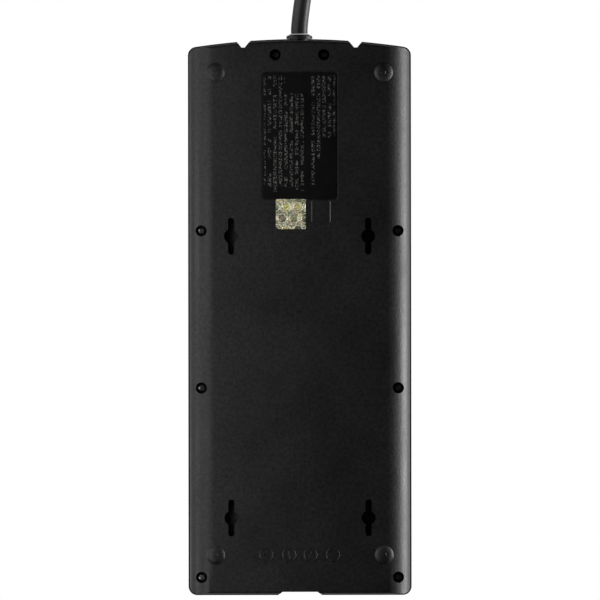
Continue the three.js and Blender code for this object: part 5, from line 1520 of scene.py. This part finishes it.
@dataclass
class PowerCord:
    """The cord: out of its relief, down to the bench, put away in a tied coil, and its plug."""

    casing: CasingSizes
    diameter: float = 9.5 * MM
    lead_points: tuple[tuple[float, float, float], ...] = (
        (0, 161.3, 19.15),
        (0, 164.3, 19.15),
        (-0.8, 172.3, 18.7),
        (-2.2, 182.2, 17.1),
        (-4.2, 191.9, 14.5),
        (-7.8, 201.3, 11.6),
        (-12.9, 209.8, 8.8),
        (-19.4, 217.4, 6.9),
        (-24.7, 221.9, 6.2),
    )
    stub: float = 4 * MM
    centre: Point = (-8 * MM, 290 * MM)
    outer_radius: float = 66.3 * MM
    turns: float = 5 + 1 / 6
    start_angle: float = 240
    pitch: float = 10.3 * MM
    layer_rise: float = 10.2 * MM
    steps: int = 48
    rounding: float = 0.12
    climb_turns: float = 0.25
    heading_turns: float = 0.002
    tail_run: float = 29 * MM
    tail_bend: Point = (15 * MM, 2 * MM)
    plug_z: float = 13 * MM
    tie_width: float = 12 * MM
    tie_thickness: float = 1 * MM
    tie_angle: float = 210
    tie_corner: float = 3 * MM
    tie_clearance: float = 1.2 * MM
    tie_ease: float = 0.3 * MM
    relief_collar: float = 14.8 * MM
    relief_length: float = 2.4 * MM
    relief_chamfer: float = 0.8 * MM
    relief_lip: float = 0.5 * MM
    relief_neck: float = 11 * MM
    relief_flange: float = 2 * MM
    relief_tail: float = 18 * MM
    relief_tail_diameter: float = 12.4 * MM
    relief_tip_diameter: float = 10.4 * MM

    @property
    def low_z(self) -> float:
        """The height of the lower layer's centre line."""
        return self.tie_thickness + FIT + self.diameter / 2

    def coil_point(self, turns: float) -> Vector:
        """Gives the centre line's point after so many turns."""
        angle = math.radians(self.start_angle - 360 * turns)
        from_middle = turns - self.turns / 2
        radius = self.outer_radius - self.pitch * (self.turns / 2 - math.hypot(from_middle, self.rounding))
        part = min(max((from_middle + self.climb_turns) / (2 * self.climb_turns), 0), 1)
        height = self.low_z + self.layer_rise * part * part * (3 - 2 * part)
        return Vector((*self.centre, height)) + Vector((math.cos(angle), math.sin(angle), 0)) * radius

    def heading(self, turns: float) -> Vector:
        """Gives the coil's level heading after so many turns."""
        ahead = self.coil_point(turns + self.heading_turns) - self.coil_point(turns - self.heading_turns)
        return Vector((ahead.x, ahead.y, 0)).normalized()

    def route(self) -> tuple[list[Vector], Vector]:
        """Gives the whole cord's points, and the point where it enters the plug."""
        ahead, out = self.heading(0), self.heading(self.turns)
        count = round(self.turns * self.steps)
        wound = [self.coil_point(self.turns * step / count) for step in range(count + 1)]
        start, end = wound[0] - ahead * self.diameter, wound[-1] + out * self.diameter
        lead = [Vector(point) * MM for point in self.lead_points]
        lead += [start - ahead * (self.stub + FIT), start - ahead * FIT]
        plug = Vector((end.x, end.y + self.tail_run, self.plug_z))
        along, down = self.tail_bend
        tail = [end + out * FIT, end + out * (self.stub + FIT), end + Vector((0, along, -down))]
        tail += [plug - Vector((0, self.stub, 0)), plug]
        return [*catmull(lead, 4), start, *wound, end, *catmull(tail, 4)], plug

    def make_relief(self) -> Object:
        """Makes the strain relief: a collar outside the wall, a flange and a taper inside."""
        end, chamfer, hole = self.casing.end_y, self.relief_chamfer, self.diameter / 2 + FIT / 3
        collar, neck = self.relief_collar / 2, self.relief_neck / 2
        inner, tip = end - self.casing.wall - FIT, end + FIT + self.relief_length
        flange, outer, floor = inner - self.relief_flange, end + FIT / 6, tip - self.relief_length * 0.8
        low = flange - self.relief_tail
        profile = [
            (0, low),
            (self.relief_tip_diameter / 2, low),
            (self.relief_tail_diameter / 2, flange),
            (collar, flange),
            (collar, inner),
            (neck, inner),
            (neck, outer),
            (collar, outer),
            (collar, tip - 1.6 * chamfer),
            (collar - chamfer / 2, tip - 1.1 * chamfer),
            (neck + chamfer, tip - 0.8 * chamfer),
            (neck + chamfer / 3, tip - 0.5 * chamfer),
            (neck, tip),
            (hole + FIT, tip),
            (hole, tip - self.relief_lip),
            (hole, floor),
            (0, floor),
        ]
        return move(turn(turned("relief", profile), x=-QUARTER), z=self.casing.cord_z)

    def make_tie(self) -> Object:
        """Makes the strap round the coil's turns."""
        reach, thick, half = self.diameter / 2, self.tie_thickness, self.tie_width / 2
        inner = self.outer_radius - self.pitch * (self.turns - 1) / 2 - reach - self.tie_clearance
        outer = self.outer_radius + reach + FIT
        high = self.low_z + self.layer_rise + reach + FIT
        width, height, middle = outer - inner, high - thick, ((inner + outer) / 2, (thick + high) / 2)
        outline = rounded(width + 2 * thick, height + 2 * thick, self.tie_corner + thick, *middle)
        room = rounded(width, height, self.tie_corner, *middle)
        strap = ease(tunnel("coil_strap", outline, room, -half, half, Lay.SECTION), self.tie_ease)
        return move(turn(strap, z=math.radians(self.tie_angle)), *self.centre)

    def build(self, finishes: Finishes, plug: "WallPlug") -> None:
        """Makes and dresses the cord, its relief, its tie and its plug."""
        hand_over(self.make_relief(), "casing", finishes, Finish.CORD, "strain_relief")
        route, plug_end = self.route()
        cord = tube("power_cord", route, self.diameter)
        hand_over(cord, "casing", finishes, Finish.CORD, "cord_lead", "cord_coil", "cord_tail")
        tie = hand_over(self.make_tie(), "casing", finishes, Finish.TIE, "coil_tie")
        pieces = plug.build(finishes, plug_end)


@dataclass
class WallPlug:
    """The moulded plug with its ribbed neck, two blades and ground pin."""

    neck_length: float = 22 * MM
    neck_tip: float = 11 * MM
    neck_diameter: float = 13 * MM
    flare: float = 16 * MM
    flare_length: float = 2 * MM
    shoulder: float = 5 * MM
    swell_ring: tuple[float, float, float] = (21.5 * MM, 19.8 * MM, 7.5 * MM)
    shoulder_ring: tuple[float, float, float] = (26 * MM, 23 * MM, 6.6 * MM)
    grip_ring: tuple[float, float, float] = (28.6 * MM, 24.9 * MM, 6 * MM)
    grip_length: float = 7 * MM
    size: Point = (30 * MM, 26 * MM)
    length: float = 36 * MM
    corner: float = 6 * MM
    edge: float = 0.8 * MM
    edge_length: float = 1 * MM
    blade_spacing: float = 12.7 * MM
    blade_line: float = 5 * MM
    blade_width: float = 6.35 * MM
    blade_thickness: float = 1.5 * MM
    blade_length: float = 17.5 * MM
    blade_tip: float = 0.45 * MM
    blade_hole: float = 3.2 * MM
    blade_hole_inset: float = 4.5 * MM
    pin_diameter: float = 4.8 * MM
    pin_length: float = 21 * MM
    ground_offset: float = 11.9 * MM
    seat: float = 2 * MM
    ribs: int = 5
    rib_ends: Point = (3 * MM, 2 * MM)
    rib_width: float = 1.3 * MM
    rib_depth: float = 0.6 * MM
    rib_reach: float = 18 * MM

    def make_body(self, end: Vector) -> Object:
        """Makes the body by extruding ring after ring from the neck's end to the face."""
        neck_y = end.y + FIT
        body_y, face_y = neck_y + self.neck_length, neck_y + self.neck_length + self.length
        shoulder_y = body_y + self.shoulder
        grip_y, (width, height), edge = shoulder_y + self.grip_length, self.size, self.edge
        necks = ((neck_y, self.neck_tip), (body_y - self.flare_length, self.neck_diameter), (body_y, self.flare))
        trims = ((grip_y, 0), (face_y - self.edge_length, 0), (face_y - self.edge_length * 0.3, 0.3), (face_y, 1))
        rings = [
            *[(y, (across, across, across / 2 - FIT / 30)) for y, across in necks],
            (body_y + self.shoulder / 2, self.swell_ring),
            (shoulder_y, self.shoulder_ring),
            (shoulder_y + self.grip_length / 2, self.grip_ring),
            *[(y, (width - 2 * trim * edge, height - 2 * trim * edge, self.corner - trim * edge)) for y, trim in trims],
        ]
        body = self.loft("plug_moulding", [(y, rounded(*ring, end.x, end.z, 6)) for y, ring in rings])
        self.cut_ribs(body, end)
        return body

    def loft(self, name: str, outlines: Sequence[tuple[float, list[Point]]]) -> Object:
        """Extrudes the first outline from place to place and gives it each place's own shape.

        Args:
            name: The object's name.
            outlines: The place along y and the outline of each ring, with as many points in each.

        Returns:
            A closed object with its faces outward.
        """
        (last, before), *others = outlines
        body = prism(name, before, last, others[0][0], Lay.SECTION)
        for index, (y, outline) in enumerate(others):
            if index:
                self.extrude_end(body, y)
            for vertex in body.data.vertices:
                if vertex.co.y > y - NEAR:
                    here = (vertex.co.x, vertex.co.z)
                    nearest = min(range(len(before)), key=lambda step: math.dist(before[step], here))
                    vertex.co.x, vertex.co.z = outline[nearest]
            before = outline
        return body

    def extrude_end(self, body: Object, y: float) -> None:
        """Extrudes the body's end face to a place along y."""
        last = max(vertex.co.y for vertex in body.data.vertices)
        with editing(body):
            bpy.context.tool_settings.mesh_select_mode = (False, False, True)
            mesh = bmesh.from_edit_mesh(body.data)
            for face in mesh.faces:
                face.select_set(all(vertex.co.y > last - NEAR for vertex in face.verts))
            bmesh.update_edit_mesh(body.data)
            bpy.ops.mesh.extrude_region_move(TRANSFORM_OT_translate={"value": (0, y - last, 0)})

    def cut_ribs(self, body: Object, end: Vector) -> None:
        """Cuts the flexing grooves round the neck."""
        first, spare = self.rib_ends
        step = (self.neck_length - first - spare) / self.ribs
        outline = circle(end.x, end.z, self.rib_reach, 36)
        core = circle(end.x, end.z, self.neck_tip - 2 * self.rib_depth, 36)
        for count in range(self.ribs):
            low = end.y + FIT + first + step * count
            cut(body, tunnel("rib", outline, core, low, low + self.rib_width, Lay.SECTION))

    def blade_box(self, name: str, end: Vector, side: int, low: float, high: float, grow: float = 0) -> Object:
        """Makes a box where a blade is, from low to high along y."""
        x, z = end.x + self.blade_line, end.z + side * self.blade_spacing / 2
        half, thick = self.blade_width / 2 + grow, self.blade_thickness / 2 + grow
        return block(name, (x - half, low, z - thick), (x + half, high, z + thick))

    def make_blade(self, name: str, end: Vector, face_y: float, side: int) -> Object:
        """Makes one flat blade with a tapered tip and its hole."""
        high = face_y + self.blade_length
        blade = self.blade_box(name, end, side, face_y - self.seat, high)
        bevel_where(blade, above(high - NEAR, 1), self.blade_tip, 2)
        x, z, past = end.x + self.blade_line, end.z + side * self.blade_spacing / 2, 4 * PAST
        return cut(blade, post("hole", x, high - self.blade_hole_inset, self.blade_hole, z - past, z + past, 28))

    def make_pin(self, end: Vector, face_y: float) -> Object:
        """Makes the round ground pin with its domed nose."""
        radius, low, tip = self.pin_diameter / 2, face_y - self.seat, face_y + self.pin_length
        nose = [(radius * math.cos(t), tip - radius + radius * math.sin(t)) for t in quarter(6)[:-1]]
        pin = turned("ground_pin", [(0, low), (radius, low), *nose, (0, tip)], 32)
        return move(turn(pin, x=-QUARTER), end.x + self.blade_line - self.ground_offset, 0, end.z)

    def build(self, finishes: Finishes, end: Vector) -> list[Object]:
        """Makes and dresses the plug where the cord ends.

        Args:
            finishes: The materials by finish.
            end: The cord's last point.

        Returns:
            The plug's four pieces.
        """
        face_y = end.y + FIT + self.neck_length + self.length
        low, high = face_y - self.seat - FIT, face_y + PAST
        body = self.make_body(end)
        seats = [self.blade_box("seat", end, side, low, high, FIT) for side in (-1, 1)]
        hole = circle(end.x + self.blade_line - self.ground_offset, end.z, self.pin_diameter + 2 * FIT)
        cut(body, *seats, prism("seat", hole, low, high, Lay.SECTION))
        pieces = [hand_over(body, "casing", finishes, Finish.CORD, "plug_body")]
        for word, side in (("line", 1), ("neutral", -1)):
            blade = self.make_blade(f"{word}_blade", end, face_y, side)
            pieces.append(hand_over(blade, "casing", finishes, Finish.STEEL, f"plug_{word}_blade"))
        pin = self.make_pin(end, face_y)
        return [*pieces, hand_over(pin, "casing", finishes, Finish.STEEL, "plug_ground_pin")]


# Pieces that keep their CAD shape


@dataclass
class InnerParts:
    """The trays, bars, wires and components inside, which keep their own shapes and get their finishes."""

    def build(self, finishes: Finishes) -> None:
        """Dresses every node that still shows in its record slot's finish."""
        for subpart in frame["record"]["subparts"]:
            node, slot = frame["nodes"][subpart["node"]], subpart["material_slot"]
            if not node.hide_render:
                node.data.materials.clear()
                node.data.materials.append(finishes[Finish(slot)])
                log.info("%s dressed as %s", node.name, slot)


def make_finishes(casing: CasingSizes, stickers: Stickers) -> Finishes:
    """Builds one material for each finish."""
    shell = {"rough_swing": 0.14, "grain": 1.2 * MM, "depth": 0.16 * MM, "mottle": 1.0, "seam_z": casing.seam_z}
    surfaces = {
        Finish.CASING: Plastic("grained black casing", (0.021, 0.021, 0.0207), 0.47, **shell),
        Finish.SCREW: Metal("blackened screw", (0.24, 0.235, 0.23), 0.24, 0.3),
        Finish.LABEL: PrintedFilm("label film", stickers.label_y, *stickers.label),
        Finish.FOIL: Foil("seal foil"),
        Finish.CORD: Plastic("cord rubber", (0.027, 0.027, 0.028), 0.46, grain=0.7 * MM, depth=0.012 * MM),
        Finish.TIE: Woven("strap weave"),
        Finish.CONTACT: Metal("contact brass", (0.72, 0.5, 0.18), 0.3),
        Finish.ROCKER: Plastic("satin switch plastic", (0.024, 0.024, 0.026), 0.3, grain=0.8 * MM, depth=0.006 * MM),
        Finish.TRAY: Plastic("ivory tray", (0.66, 0.63, 0.55), 0.5, cloud=0.05, speck_light=0.8),
        Finish.STEEL: Metal("plated steel", (0.62, 0.61, 0.58), 0.24, 0.06),
        Finish.LENS: Lens("light pipe", (0.8, 0.88, 0.8)),
        Finish.BOARD: Laminate("board laminate"),
        Finish.VARISTOR: Plastic("dipped blue", (0.03, 0.1, 0.36), 0.34, grain=1.5 * MM, depth=0.05 * MM),
        Finish.COMPONENT: Plastic("yellow component case", (0.62, 0.47, 0.07), 0.4, speck_light=0.8),
        Finish.FERRITE: Plastic("coated ferrite", (0.05, 0.09, 0.06), 0.55, depth=0.06 * MM),
        Finish.LINE: Plastic("black wire", (0.02, 0.02, 0.02), 0.4),
        Finish.NEUTRAL: Plastic("white wire", (0.72, 0.72, 0.7), 0.4, cloud=0.04, speck_light=0.85),
        Finish.GROUND: Plastic("green wire", (0.04, 0.3, 0.09), 0.4),
    }
    return {finish: surface.material() for finish, surface in surfaces.items()}


# Studio


@dataclass(frozen=True)
class Lamp:
    """One soft rectangular lamp."""

    name: str
    place: tuple[float, float, float]
    size: Point
    power: float
    target: tuple[float, float, float] = (0.0, 0.0, 0.0)


LAMPS = (
    Lamp("broad above", (0.9, -0.9, 1.3), (0.8, 0.8), 7.0, (0.0, 0.05, 0.0)),
    Lamp("right strip", (-0.6, 0.0, 0.04), (0.6, 0.24), 6.6),
    Lamp("right low strip", (-0.6, 0.0, -0.06), (0.6, 0.2), 0.5),
    Lamp("left strip", (0.6, 0.0, -0.1), (0.6, 0.14), 1.2),
    Lamp("left near", (0.12, 0.0, -0.12), (0.5, 0.08), 0.23),
)


@dataclass
class Studio:
    """A pale floor that shows from above only, soft lamps on both sides of it, and the camera under it."""

    view: Point = (-0.17 * MM, 9.7 * MM)
    width: float = 341.2 * MM
    distance: float = 12000 * MM
    back_z: float = 1.8 * MM
    roll: float = 0.08
    sensor: float = 36
    clip: Point = (0.05, 200)
    floor_size: float = 80.0
    floor_greys: Point = (0.78, 0.82)
    floor_cloud: float = 0.4
    gloss_light: Point = (0.01, 0.16)
    soft_light: Point = (0.02, 0.6)
    sun_power: float = 2.5
    sun_spread: float = 50
    sun_turn: Point = (28, -18)

    def hang(self, name: str, data: bpy.types.ID) -> Object:
        """Puts a camera or a light into the scene."""
        piece = bpy.data.objects.new(name, data)
        bpy.context.scene.collection.objects.link(piece)
        return piece

    def camera(self) -> None:
        """Places the camera under the back, looking up, with the cord end at the top of the picture."""
        data = bpy.data.cameras.new("camera")
        data.sensor_width = self.sensor
        data.lens = self.sensor * self.distance / self.width
        data.clip_start, data.clip_end = self.clip
        camera = self.hang("camera", data)
        camera.location = (*self.view, self.back_z - self.distance)
        camera.rotation_euler = (0, math.pi, math.radians(self.roll))
        bpy.context.scene.camera = camera

    def floor(self) -> None:
        """Lays the floor, which the camera sees from above and which stops no light."""
        deselect()
        bpy.ops.mesh.primitive_plane_add(size=self.floor_size)
        floor = fresh("floor")
        material, sheet, shader = new_material("pale floor")
        cloud = sheet.noise(sheet.place(), self.floor_cloud)
        dark, light = [(grey, grey, grey, 1) for grey in self.floor_greys]
        sheet.dress(shader, sheet.mix(cloud, dark, light), 0.9, None)
        choose = sheet.node("ShaderNodeMixShader")
        back = sheet.node("ShaderNodeNewGeometry").outputs["Backfacing"]
        clear = sheet.node("ShaderNodeBsdfTransparent").outputs[0]
        for socket, source in zip(choose.inputs, (back, shader.outputs[0], clear)):
            sheet.tree.links.new(source, socket)
        sheet.tree.links.new(choose.outputs[0], sheet.tree.nodes["Material Output"].inputs["Surface"])
        floor.data.materials.append(material)
        for effect in ("shadow", "diffuse", "glossy", "transmission"):
            setattr(floor, f"visible_{effect}", False)

    def world(self) -> None:
        """Makes the surroundings: white to the camera, with dim gloss and soft light from above."""
        world = bpy.data.worlds.new("studio")
        bpy.context.scene.world = world
        world.use_nodes = True
        sheet = Sheet(world.node_tree)
        background = world.node_tree.nodes["Background"]
        path = {socket.name: Wire(sheet, socket) for socket in sheet.node("ShaderNodeLightPath").outputs}
        height = sheet.axes(sheet.call("ShaderNodeTexCoord", out="Generated"))[2]
        mirrored_ray = path["Is Glossy Ray"].most(path["Is Transmission Ray"])
        glossy = mirrored_ray * sheet.spread(height, 0.05, 0.7, *self.gloss_light)
        soft = sheet.spread(height, 0.0, 0.7, *self.soft_light)
        background.inputs["Color"].default_value = (1, 1, 1, 1)
        sheet.feed(background.inputs["Strength"], path["Is Camera Ray"].most(glossy.most(soft)))

    def sun(self) -> None:
        """Lights the front and the floor evenly from above."""
        data = bpy.data.lights.new("sky light", "SUN")
        data.energy = self.sun_power
        data.angle = math.radians(self.sun_spread)
        light = self.hang("sky light", data)
        light.rotation_euler = (*map(math.radians, self.sun_turn), 0)
        light.visible_glossy = False

    def lamp(self, lamp: Lamp) -> None:
        """Hangs one soft lamp and aims it."""
        data = bpy.data.lights.new(lamp.name, "AREA")
        data.shape = "RECTANGLE"
        data.size, data.size_y = lamp.size
        data.energy = lamp.power
        light = self.hang(lamp.name, data)
        light.location = lamp.place
        light.rotation_euler = (Vector(lamp.target) - Vector(lamp.place)).to_track_quat("-Z", "Y").to_euler()
        light.visible_camera = False

    def build(self) -> None:
        """Makes the whole studio."""
        self.camera()
        self.floor()
        self.world()
        self.sun()
        for lamp in LAMPS:
            self.lamp(lamp)
        bpy.context.scene.view_settings.view_transform = "Standard"


def main() -> None:
    """Builds the studio, the cord and the casing, and dresses what is inside."""
    logging.basicConfig(level=logging.INFO, format="%(name)s: %(message)s")
    Studio().build()
    casing = CasingSizes()
    stickers, panel = Stickers(casing), ControlPanel(casing)
    finishes = make_finishes(casing, stickers)
    PowerCord(casing).build(finishes, WallPlug())
    panel.build(finishes)
    CaseScrews(casing).build(finishes)
    stickers.build(finishes)
    BackCover(casing).build(finishes)
    FrontCover(casing).build(finishes, panel)
    InnerParts().build(finishes)


if __name__ == "__main__":
    main()
